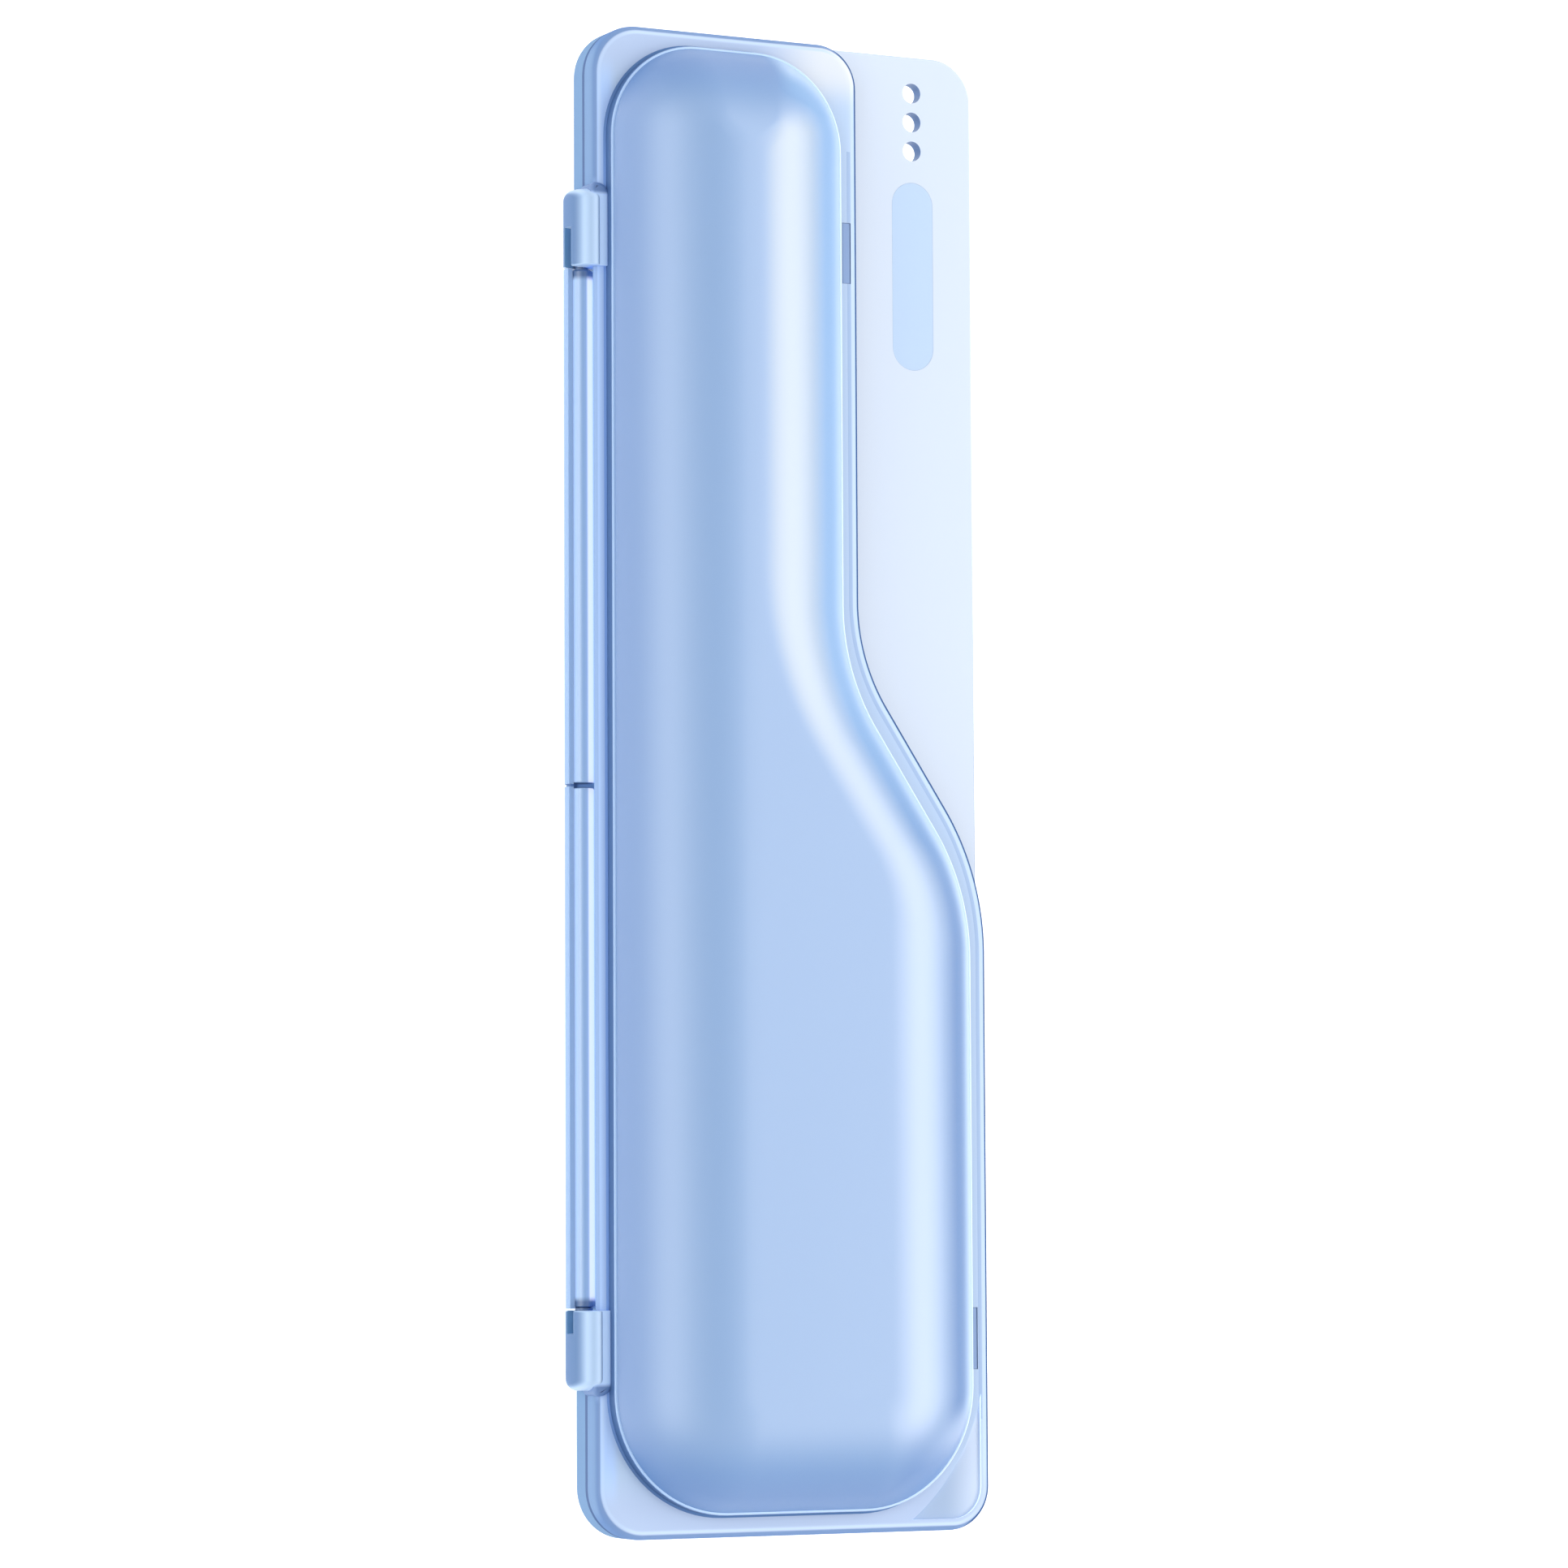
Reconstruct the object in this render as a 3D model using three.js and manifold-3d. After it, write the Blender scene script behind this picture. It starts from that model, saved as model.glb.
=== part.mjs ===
// Electric toothbrush travel case, in millimetres.
// The case lies on its back: X is its width with the hinge at -X, Y its length, Z points out of the lid.
// The origin is on the flat back of the bowl, at the middle of the case's width and length.

import * as THREE from 'three';
import { mergeVertices } from 'three/addons/utils/BufferGeometryUtils.js';
import Module from 'manifold-3d';

const wasm = await Module();
wasm.setup();

// Whole case
const caseLength = 220;
const wall = 1.6;
const partingGap = 0.3;
const pieceClearance = 0.3;
const cutOverrun = 2;

// Handle that the case is made for, and the room around it
const handleRadius = 14;
const handleSideRoom = 2.025;
const handleFloorRoom = 1.4;
const handleRoofRoom = 1.2;
const handleClearance = 0.2;

// Outline of the lid and of the base
const hingeCornerRadius = 7.5;
const openCornerRadius = 6.4;
const shoulderStep = 20.85;
const shoulderHeight = 112.7;
const shoulderTilt = 33.5;
const shoulderInnerRadius = 28;
const shoulderOuterRadius = 39;

// Rims
const rimDepth = 3.4;
const plateThickness = 2;
const flangeHeight = 3.5;
const flangeFillet = 1;
const partingChamfer = 0.25;

// Dome of the lid and bowl of the base
const domeHingeInset = 2.05;
const domeOpenInset = 3.95;
const domeTopInset = 2.8;
const domeBottomInset = 3.3;
const domeTopRadius = 14;
const domeBottomRadius = 18;
const domeInnerCornerRadius = 2;
const stepHeight = 1.9;
const stepLand = 0.6;
const stepFillet = 0.25;
const domeCrownWidth = 4.45;
const domeEdgeAngle = 65;
const bowlStraightDepth = 4.5;
const bowlReach = 11;
const bowlEdgeAngle = 84;
const lipHeight = 1;
const lipThickness = 0.9;

// Hinge
const hingeOffset = 0.35;
const hingeCentreShift = 1.55;
const hingeGap = 0.9;
const channelRadius = 2.6;
const channelBoreRadius = 1.85;
const channelEndInset = 34.75;
const channelOuterLip = 155;
const channelInnerLip = 35;
const rodRadius = 1.6;
const rodEndPlay = 1.2;
const rodChamfer = 0.25;
const pinRadius = 0.95;
const pinBoreRadius = 1.2;
const pinLength = 7.2;
const earRadius = 2.65;
const earLength = 10.95;
const earRise = 4.15;
const earReach = 3.35;
const earEndRadius = 1.7;
const earRootReach = 1.2;
const earRootHeight = 0.8;
const earBoreSpare = 0.5;
const earSlotWidth = 1.7;
const earSlotAngle = 164;
const upperSlotLength = 5.8;
const lowerSlotLength = 3.3;
const padThickness = 0.55;
const padOverhang = 0.6;
const padEdgeRadius = 1.5;

// Latches and finger relief
const latchEndInset = 29.7;
const windowWidth = 1.4;
const windowLength = 9.1;
const neckWindowEdge = 1.5;
const bodyWindowEdge = 2.2;
const tabThickness = 0.8;
const tabTopWidth = 0.4;
const tabLeadIn = 0.6;
const tabLength = 7.6;
const tabHeight = 2.7;
const fingerRadius = 31;
const fingerCentreX = 0.2;
const fingerCentreHeight = 26.5;
const fingerDepth = 0.4;
const thumbDepth = 1.4;

// Holes and label of the plate
const holeRadius = 1.5;
const holePitch = 4.4;
const holeCount = 3;
const labelLineShift = 0.4;
const holeTopInset = 9.9;
const labelWidth = 6.9;
const labelLength = 28.4;
const labelTopInset = 19.1;
const labelRecessDepth = 0.5;
const labelThickness = 0.4;
const labelSideGap = 0.15;

// Supports inside
const cradleThickness = 7;
const upperCradleInset = 52;
const lowerCradleInset = 48;
const cradleTopDrop = 4;
const cradleSideWidth = 3;
const headRestInset = 29;
const headRestLength = 46;
const headRestFloor = 2;
const headForkThickness = 4;
const headForkHeight = 9;
const headStemRadius = 4.2;

// Facets
const cornerSteps = 8;
const shoulderSteps = 8;
const domeSteps = 9;
const bowlSteps = 7;
const filletSteps = 3;
const roundSteps = 24;
const discSteps = 96;
const mergeTolerance = 1e-5;

const bowlInset = pieceClearance + lipThickness;
const handleBay = 2 * (handleRadius + handleSideRoom + wall + bowlInset);
const neckWidth = handleBay + domeHingeInset + domeOpenInset;
const caseWidth = neckWidth + shoulderStep;
const baseDepth = handleRadius + wall + handleFloorRoom;
const lidHeight = handleRadius + wall + handleRoofRoom;
const domeReach = (handleBay - domeCrownWidth) / 2 - stepLand;
const left = -caseWidth / 2;
const right = caseWidth / 2;
const top = caseLength / 2;
const bottom = -caseLength / 2;
const partingZ = baseDepth;
const lidBottomZ = partingZ + partingGap;
const flangeTopZ = partingZ + flangeHeight;
const stepTopZ = flangeTopZ + stepHeight;
const pillowHeight = lidHeight - flangeHeight - stepHeight;
const hinge = new THREE.Vector3(left - hingeOffset, -hingeCentreShift, partingZ + partingGap / 2);
const radians = THREE.MathUtils.degToRad;

// Outline sizes of a bottle shape: straight left side, narrow top, wide bottom, S-curve on the right.
const lidForm = {
  left,
  neck: left + neckWidth,
  body: right,
  top,
  bottom,
  topLeftRadius: hingeCornerRadius,
  topRightRadius: openCornerRadius,
  bottomLeftRadius: hingeCornerRadius,
  bottomRightRadius: openCornerRadius,
  endRadius: flangeFillet,
  shoulderShift: 0,
};

const domeForm = {
  left: left + domeHingeInset,
  neck: left + neckWidth - domeOpenInset,
  body: right - domeOpenInset,
  top: top - domeTopInset,
  bottom: bottom + domeBottomInset,
  topLeftRadius: domeTopRadius,
  topRightRadius: domeTopRadius,
  bottomLeftRadius: domeBottomRadius,
  bottomRightRadius: domeBottomRadius,
  endRadius: domeInnerCornerRadius,
  shoulderShift: domeOpenInset,
};

// Arc of a path as points, from one angle to another in degrees.
function arc(x, y, radius, from, to, steps) {
  const points = [];
  for (let i = 0; i <= steps; i += 1) {
    const angle = radians(from + ((to - from) * i) / steps);
    points.push(new THREE.Vector2(x + radius * Math.cos(angle), y + radius * Math.sin(angle)));
  }
  return points;
}

// Counterclockwise bottle outline, drawn in by an inset. Every inset gives the same number of points.
function bottleOutline(form, inset) {
  const shrink = (radius) => Math.max(radius - inset, form.endRadius);
  const x0 = form.left + inset;
  const xNeck = form.neck - inset;
  const xBody = form.body - inset;
  const y0 = form.bottom + inset;
  const y1 = form.top - inset;
  const tilt = radians(shoulderTilt);
  const shift = form.shoulderShift + inset;
  const middleX = (lidForm.neck + lidForm.body) / 2 - shift * Math.cos(tilt);
  const middleY = bottom + shoulderHeight - shift * Math.sin(tilt);
  const inner = shoulderInnerRadius + shift;
  const outer = shoulderOuterRadius - shift;
  const outerY = middleY - (xBody - middleX) / Math.tan(tilt) - outer * Math.tan(tilt / 2);
  const innerY = middleY + (middleX - xNeck) / Math.tan(tilt) + inner * Math.tan(tilt / 2);
  const bottomRight = shrink(form.bottomRightRadius);
  const topRight = shrink(form.topRightRadius);
  const topLeft = shrink(form.topLeftRadius);
  const bottomLeft = shrink(form.bottomLeftRadius);
  return [
    ...arc(xBody - bottomRight, y0 + bottomRight, bottomRight, -90, 0, cornerSteps),
    ...arc(xBody - outer, outerY, outer, 0, shoulderTilt, shoulderSteps),
    ...arc(xNeck + inner, innerY, inner, 180 + shoulderTilt, 180, shoulderSteps),
    ...arc(xNeck - topRight, y1 - topRight, topRight, 0, 90, cornerSteps),
    ...arc(x0 + topLeft, y1 - topLeft, topLeft, 90, 180, cornerSteps),
    ...arc(x0 + bottomLeft, y0 + bottomLeft, bottomLeft, 180, 270, cornerSteps),
  ];
}

// Counterclockwise outline of the base: a rectangle with rounded corners.
function baseOutline(inset) {
  const hingeSide = hingeCornerRadius - inset;
  const openSide = openCornerRadius - inset;
  const x0 = left + inset;
  const x1 = right - inset;
  const y0 = bottom + inset;
  const y1 = top - inset;
  return [
    ...arc(x1 - openSide, y0 + openSide, openSide, -90, 0, cornerSteps),
    ...arc(x1 - openSide, y1 - openSide, openSide, 0, 90, cornerSteps),
    ...arc(x0 + hingeSide, y1 - hingeSide, hingeSide, 90, 180, cornerSteps),
    ...arc(x0 + hingeSide, y0 + hingeSide, hingeSide, 180, 270, cornerSteps),
  ];
}

// Closed skin through a stack of outlines that have equally many points, lowest level first.
function loft(levels) {
  const count = levels[0].points.length;
  const positions = [];
  const indices = [];
  for (const { points, z } of levels) {
    for (const point of points) positions.push(point.x, point.y, z);
  }
  for (let level = 0; level + 1 < levels.length; level += 1) {
    for (let i = 0; i < count; i += 1) {
      const a = level * count + i;
      const b = level * count + ((i + 1) % count);
      indices.push(a, b, b + count, a, b + count, a + count);
    }
  }
  const last = (levels.length - 1) * count;
  for (const [a, b, c] of THREE.ShapeUtils.triangulateShape(levels[0].points, [])) {
    indices.push(a, c, b);
  }
  for (const [a, b, c] of THREE.ShapeUtils.triangulateShape(levels.at(-1).points, [])) {
    indices.push(last + a, last + b, last + c);
  }
  const geometry = new THREE.BufferGeometry();
  geometry.setAttribute('position', new THREE.Float32BufferAttribute(positions, 3));
  geometry.setIndex(indices);
  return geometry;
}

// Solid from a closed geometry.
function solid(geometry) {
  geometry.deleteAttribute('normal');
  geometry.deleteAttribute('uv');
  const merged = mergeVertices(geometry, mergeTolerance);
  return new wasm.Manifold(new wasm.Mesh({
    numProp: 3,
    vertProperties: Float32Array.from(merged.attributes.position.array),
    triVerts: Uint32Array.from(merged.index.array),
  }));
}

// Named mesh from a solid.
function meshOf(name, body, material) {
  const { vertProperties, triVerts } = body.getMesh();
  const geometry = new THREE.BufferGeometry();
  geometry.setAttribute('position', new THREE.Float32BufferAttribute(vertProperties, 3));
  geometry.setIndex(new THREE.Uint32BufferAttribute(triVerts, 1));
  geometry.computeVertexNormals();
  const mesh = new THREE.Mesh(geometry, material);
  mesh.name = name;
  return mesh;
}

// Box between two corners.
function box(x0, y0, z0, x1, y1, z1) {
  const geometry = new THREE.BoxGeometry(x1 - x0, y1 - y0, z1 - z0);
  geometry.translate((x0 + x1) / 2, (y0 + y1) / 2, (z0 + z1) / 2);
  return solid(geometry);
}

// Cylinder that lies along the case.
function longCylinder(x, z, radius, y0, y1) {
  const geometry = new THREE.CylinderGeometry(radius, radius, y1 - y0, roundSteps);
  geometry.translate(x, (y0 + y1) / 2, z);
  return geometry;
}

// Outline in the plane across the case, swept along the case from y0 to y1.
function acrossSweep(points, y0, y1) {
  const geometry = new THREE.ExtrudeGeometry(new THREE.Shape(points), {
    depth: y1 - y0,
    bevelEnabled: false,
  });
  geometry.rotateX(Math.PI / 2);
  geometry.translate(0, y1, 0);
  return solid(geometry);
}

// Levels of a pillow: it rises steeply at its edge and ends in a level top.
function pillowLevels(form, edgeInset, reach, edgeAngle, startZ, rise, steps) {
  const edge = radians(edgeAngle);
  const levels = [];
  for (let i = 1; i <= steps; i += 1) {
    const angle = edge * (1 - i / steps);
    const inset = edgeInset + reach * (1 - Math.sin(angle) / Math.sin(edge));
    const share = (Math.cos(angle) - Math.cos(edge)) / (1 - Math.cos(edge));
    levels.push({ points: bottleOutline(form, inset), z: startZ + rise * share });
  }
  return levels;
}

// Levels of the dome with its step, drawn in and lowered by the wall for the hollow.
function domeLevels(inset, startZ) {
  const stepZ = stepTopZ - inset;
  const edgeInset = inset + stepLand;
  return [
    { points: bottleOutline(domeForm, inset), z: startZ },
    { points: bottleOutline(domeForm, inset), z: stepZ - stepFillet },
    { points: bottleOutline(domeForm, inset + stepFillet), z: stepZ },
    { points: bottleOutline(domeForm, edgeInset), z: stepZ },
    ...pillowLevels(domeForm, edgeInset, domeReach - inset, domeEdgeAngle, stepZ, pillowHeight, domeSteps),
  ];
}

// Levels of the bowl from its flat back up to the parting plane.
function bowlLevels(inset, endZ) {
  const edgeInset = bowlInset + inset;
  const curveZ = partingZ - bowlStraightDepth;
  const drop = -(curveZ - inset);
  const curve = pillowLevels(domeForm, edgeInset, bowlReach, bowlEdgeAngle, curveZ, drop, bowlSteps);
  return [
    ...curve.reverse(),
    { points: bottleOutline(domeForm, edgeInset), z: curveZ },
    { points: bottleOutline(domeForm, edgeInset), z: endZ },
  ];
}

// Prism between two heights.
function prism(points, z0, z1) {
  return solid(loft([{ points, z: z0 }, { points, z: z1 }]));
}

// Stack of outlines across the case, joined along the case.
function acrossLoft(levels) {
  const ordered = levels.map(({ points, y }) => ({ points, z: -y })).sort((a, b) => a.z - b.z);
  const geometry = loft(ordered);
  geometry.rotateX(Math.PI / 2);
  return solid(geometry);
}

// Outline drawn towards a point by a factor.
function drawnIn(points, x, z, factor) {
  return points.map((point) => new THREE.Vector2(
    x + (point.x - x) * factor,
    z + (point.y - z) * factor,
  ));
}

// Bar across-shaped like an outline, from a flat inner end to an outer end rounded towards a point.
function roundEndedBar(points, x, z, size, endRadius, inner, outer) {
  const direction = Math.sign(outer - inner);
  const levels = [{ points, y: inner }];
  for (let i = 0; i <= filletSteps; i += 1) {
    const angle = (Math.PI / 2) * (i / filletSteps);
    const factor = 1 - (endRadius / size) * (1 - Math.cos(angle));
    const y = outer - direction * endRadius * (1 - Math.sin(angle));
    levels.push({ points: drawnIn(points, x, z, factor), y });
  }
  return acrossLoft(levels);
}

// Halves of the hinge: the sign gives the side of its middle along the case.
const hingeHalves = [
  { name: 'upper', sign: 1, slotLength: upperSlotLength },
  { name: 'lower', sign: -1, slotLength: lowerSlotLength },
];
const channelStart = hingeGap / 2;
const channelEnd = caseLength / 2 - channelEndInset;
const rodLength = channelEnd - channelStart - rodEndPlay;
const earStart = channelEnd + pieceClearance;
const earEnd = earStart + earLength;
const padEnd = earEnd + padOverhang;

// Latches: the edge of the window on the open side, and its place along the case.
const latchOffset = caseLength / 2 - latchEndInset;
const latches = [
  { edge: lidForm.neck - neckWindowEdge, y: hinge.y + latchOffset },
  { edge: lidForm.body - bodyWindowEdge, y: hinge.y - latchOffset },
];

// Place along the case at a distance from the hinge's middle, on one side of it.
function along(sign, distance) {
  return hinge.y + sign * distance;
}

// Cylinder on the hinge's axis between two places along the case.
function hingeCylinder(radius, a, b) {
  return solid(longCylinder(hinge.x, hinge.z, radius, Math.min(a, b), Math.max(a, b)));
}

// Corner beyond the finger arc, between two heights.
function fingerCorner(z0, z1) {
  const centreY = bottom + fingerCentreHeight;
  const corner = box(fingerCentreX, bottom - cutOverrun, z0, right + cutOverrun, centreY, z1);
  const height = z1 - z0 + cutOverrun;
  const disc = new THREE.CylinderGeometry(fingerRadius, fingerRadius, height, discSteps);
  disc.rotateX(Math.PI / 2);
  disc.translate(fingerCentreX, centreY, (z0 + z1) / 2);
  return corner.subtract(solid(disc));
}

// Flat plate of the base with broken edges.
function basePlate() {
  const lowZ = partingZ - plateThickness;
  return solid(loft([
    { points: baseOutline(partingChamfer), z: lowZ },
    { points: baseOutline(0), z: lowZ + partingChamfer },
    { points: baseOutline(0), z: partingZ - partingChamfer },
    { points: baseOutline(partingChamfer), z: partingZ },
  ]));
}

// Rim that stiffens the base under the edge of the lid.
function baseRim() {
  const lowZ = partingZ - rimDepth;
  const highZ = partingZ - plateThickness / 2;
  const outside = solid(loft([
    { points: bottleOutline(lidForm, partingChamfer), z: lowZ },
    { points: bottleOutline(lidForm, 0), z: lowZ + partingChamfer },
    { points: bottleOutline(lidForm, 0), z: highZ - plateThickness / 2 + partingChamfer },
    { points: bottleOutline(lidForm, partingChamfer), z: highZ },
  ]));
  const inside = prism(bottleOutline(lidForm, domeHingeInset), lowZ - cutOverrun, highZ + cutOverrun);
  return outside.subtract(inside);
}

// Lip that centres the lid on the mouth of the bowl.
function locatingLip() {
  const outline = bottleOutline(domeForm, wall + pieceClearance);
  return prism(outline, partingZ - plateThickness / 2, partingZ + lipHeight);
}

// C-shaped channel for a hinge rod, open towards the lid.
function hingeChannel(sign) {
  const from = channelOuterLip;
  const to = 360 + channelInnerLip;
  const outside = arc(hinge.x, hinge.z, channelRadius, from, to, roundSteps);
  const inside = arc(hinge.x, hinge.z, channelBoreRadius, to, from, roundSteps);
  const ends = [along(sign, channelStart), along(sign, channelEnd)].sort((a, b) => a - b);
  return acrossSweep([...outside, ...inside], ...ends);
}

// Latch tab that stands in a window of the lid, with a lead-in at its top.
function latchTab({ edge, y }) {
  const x1 = edge - (windowWidth - tabThickness) / 2;
  const x0 = x1 - tabThickness;
  const middle = (x0 + x1) / 2;
  const topZ = partingZ + tabHeight;
  const outline = [
    [x0, partingZ - plateThickness / 2],
    [x1, partingZ - plateThickness / 2],
    [x1, topZ - tabLeadIn],
    [middle + tabTopWidth / 2, topZ],
    [middle - tabTopWidth / 2, topZ],
    [x0, topZ - tabLeadIn],
  ].map(([x, z]) => new THREE.Vector2(x, z));
  return acrossSweep(outline, y - tabLength / 2, y + tabLength / 2);
}

// Notch in the rim of the base that leaves room for an ear of the lid.
function earNotch(sign) {
  const ends = [along(sign, channelEnd), along(sign, padEnd + pieceClearance)].sort((a, b) => a - b);
  const x1 = hinge.x + earRadius + pieceClearance;
  return box(
    hinge.x - earRadius - cutOverrun, ends[0], partingZ - rimDepth - cutOverrun,
    x1, ends[1], partingZ + cutOverrun,
  );
}

// Line of the holes and the label, near the middle of the plate's free part.
const labelLineX = (lidForm.neck + right) / 2 + labelLineShift;

// Row of holes in the plate, for a cord or a hook.
function plateHoles() {
  const middleY = top - holeTopInset;
  const holes = [];
  for (let i = 0; i < holeCount; i += 1) {
    const y = middleY + holePitch * (i - (holeCount - 1) / 2);
    const hole = new THREE.CylinderGeometry(holeRadius, holeRadius, plateThickness + cutOverrun, roundSteps);
    hole.rotateX(Math.PI / 2);
    hole.translate(labelLineX, y, partingZ - plateThickness / 2);
    holes.push(solid(hole));
  }
  return wasm.Manifold.union(holes);
}

// Pill outline of the label, drawn in by an inset.
function labelOutline(inset) {
  const radius = labelWidth / 2;
  const highY = top - labelTopInset - radius;
  const lowY = highY - labelLength + labelWidth;
  return [
    ...arc(labelLineX, highY, radius - inset, 0, 180, cornerSteps),
    ...arc(labelLineX, lowY, radius - inset, 180, 360, cornerSteps),
  ];
}

function baseShell() {
  const parts = [
    basePlate(),
    baseRim(),
    locatingLip(),
    solid(loft(bowlLevels(0, partingZ - plateThickness / 2))),
    ...hingeHalves.map(({ sign }) => hingeChannel(sign)),
    ...latches.map(latchTab),
  ];
  const cuts = [
    solid(loft(bowlLevels(wall, partingZ + lipHeight + cutOverrun))),
    hingeCylinder(channelBoreRadius, along(1, channelEnd), along(-1, channelEnd)),
    ...hingeHalves.map(({ sign }) => earNotch(sign)),
    plateHoles(),
    prism(labelOutline(0), partingZ - labelRecessDepth, partingZ + cutOverrun),
    fingerCorner(partingZ - thumbDepth, partingZ + cutOverrun),
  ];
  return wasm.Manifold.union(parts).subtract(wasm.Manifold.union(cuts));
}

// Flange of the lid, with a rounded upper edge.
function lidFlange() {
  const levels = [
    { points: bottleOutline(lidForm, partingChamfer), z: lidBottomZ },
    { points: bottleOutline(lidForm, 0), z: lidBottomZ + partingChamfer },
  ];
  for (let i = 0; i <= filletSteps; i += 1) {
    const angle = (Math.PI / 2) * (i / filletSteps);
    const inset = flangeFillet * (1 - Math.cos(angle));
    const z = flangeTopZ - flangeFillet * (1 - Math.sin(angle));
    levels.push({ points: bottleOutline(lidForm, inset), z });
  }
  return solid(loft(levels));
}

// Raised pad on the flange that carries an ear.
function earPad(sign) {
  const x0 = left - padThickness;
  const x1 = domeForm.left + wall / 2;
  const highZ = flangeTopZ + padThickness;
  const corner = arc(x0 + padEdgeRadius, highZ - padEdgeRadius, padEdgeRadius, 180, 90, filletSteps * 2);
  const outline = [
    new THREE.Vector2(x0, lidBottomZ),
    new THREE.Vector2(x1, lidBottomZ),
    new THREE.Vector2(x1, highZ),
    ...corner.reverse(),
  ];
  const inner = along(sign, earStart);
  const outer = along(sign, padEnd);
  return roundEndedBar(outline, x1, lidBottomZ, highZ - lidBottomZ, padThickness, inner, outer);
}

// Hinge ear: round below, rising in a quarter ellipse to the pad above.
function hingeEar(sign) {
  const steps = cornerSteps;
  const crown = [];
  for (let i = 0; i <= steps; i += 1) {
    const angle = (Math.PI / 2) * (1 - i / steps);
    crown.push(new THREE.Vector2(
      hinge.x - earRadius + earReach * (1 - Math.cos(angle)),
      hinge.z + earRise * Math.sin(angle),
    ));
  }
  const outline = [
    ...arc(hinge.x, hinge.z, earRadius, 180, 360, steps * 2).slice(1),
    new THREE.Vector2(hinge.x + earRadius, hinge.z + earRootHeight),
    new THREE.Vector2(hinge.x + earRootReach, hinge.z + earRootHeight),
    new THREE.Vector2(hinge.x + earRootReach, hinge.z + earRise),
    ...crown,
  ];
  const inner = along(sign, earStart);
  const outer = along(sign, earEnd);
  return roundEndedBar(outline, hinge.x, hinge.z, earRadius, earEndRadius, inner, outer);
}

// Slot in the side of an ear, through which the pin of a rod snaps into its bore.
function earSlot(sign, length) {
  const near = along(sign, channelEnd - cutOverrun);
  const far = along(sign, earStart + length);
  const size = Math.abs(far - near);
  const slot = new THREE.BoxGeometry(earRadius + cutOverrun, size, earSlotWidth);
  slot.translate((earRadius + cutOverrun) / 2, 0, 0);
  slot.rotateY(-radians(earSlotAngle));
  slot.translate(hinge.x, (near + far) / 2, hinge.z);
  return solid(slot);
}

function latchWindow({ edge, y }) {
  return box(
    edge - windowWidth, y - windowLength / 2, lidBottomZ - cutOverrun,
    edge, y + windowLength / 2, flangeTopZ + cutOverrun,
  );
}

// Shallow relief in the flange for a finger, inside its rounded edge.
function fingerRelief() {
  const lowZ = flangeTopZ - fingerDepth;
  const highZ = flangeTopZ + cutOverrun;
  const field = prism(bottleOutline(lidForm, flangeFillet), lowZ, highZ);
  return field.intersect(fingerCorner(lowZ, highZ));
}

function lidShell() {
  const clearedRadius = channelRadius + pieceClearance;
  const scallop = hingeCylinder(clearedRadius, along(1, earStart), along(-1, earStart));
  const rimmed = lidFlange().subtract(scallop);
  const parts = [
    rimmed,
    solid(loft(domeLevels(0, flangeTopZ - flangeFillet))),
    ...hingeHalves.map(({ sign }) => earPad(sign)),
    ...hingeHalves.map(({ sign }) => hingeEar(sign)),
  ];
  const boreDepth = pinLength + earBoreSpare;
  const cuts = [
    solid(loft(domeLevels(wall, lidBottomZ - earRadius - cutOverrun))),
    ...hingeHalves.map(({ sign }) => (
      hingeCylinder(pinBoreRadius, along(sign, channelEnd), along(sign, channelStart + rodLength + boreDepth))
    )),
    ...hingeHalves.map(({ sign, slotLength }) => earSlot(sign, slotLength)),
    ...latches.map(latchWindow),
    fingerRelief(),
  ];
  return wasm.Manifold.union(parts).subtract(wasm.Manifold.union(cuts));
}

// Hinge rod with chamfered ends and a thinner pin at its outer end.
function hingeRod(sign) {
  const profile = [
    [0, 0],
    [rodRadius - rodChamfer, 0],
    [rodRadius, rodChamfer],
    [rodRadius, rodLength - rodChamfer],
    [rodRadius - rodChamfer, rodLength],
    [pinRadius, rodLength],
    [pinRadius, rodLength + pinLength - rodChamfer],
    [pinRadius - rodChamfer, rodLength + pinLength],
    [0, rodLength + pinLength],
  ].map(([radius, y]) => new THREE.Vector2(radius, y));
  const geometry = new THREE.LatheGeometry(profile, roundSteps);
  if (sign < 0) geometry.rotateZ(Math.PI);
  geometry.translate(hinge.x, along(sign, channelStart), hinge.z);
  return solid(geometry);
}

function labelInlay() {
  const lowZ = partingZ - labelRecessDepth;
  return prism(labelOutline(labelSideGap), lowZ, lowZ + labelThickness);
}

// The handle lies on the neck's middle line, at the parting plane.
const handleX = (domeForm.left + domeForm.neck) / 2;
const supportSideX = handleX + handleRadius + cradleSideWidth;
const upperCradleY = top - upperCradleInset;
const lowerCradleY = bottom + lowerCradleInset;

function handleSpace() {
  const radius = handleRadius + handleClearance;
  return solid(longCylinder(handleX, partingZ, radius, bottom, top));
}

// Saddle cut from the inner form of the bowl, under the handle.
function handleCradle(y) {
  const hollow = solid(loft(bowlLevels(wall + pieceClearance, partingZ)));
  const block = box(
    left, y - cradleThickness / 2, 0,
    supportSideX, y + cradleThickness / 2, partingZ - cradleTopDrop,
  );
  return hollow.intersect(block).subtract(handleSpace());
}

// Saddle cut from the inner form of the dome, over the handle.
function lidPad(y) {
  const hollow = solid(loft(domeLevels(wall + pieceClearance, partingZ)));
  const block = box(
    left, y - cradleThickness / 2, partingZ + cradleTopDrop,
    supportSideX, y + cradleThickness / 2, partingZ + lidHeight,
  );
  return hollow.intersect(block).subtract(handleSpace());
}

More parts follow.
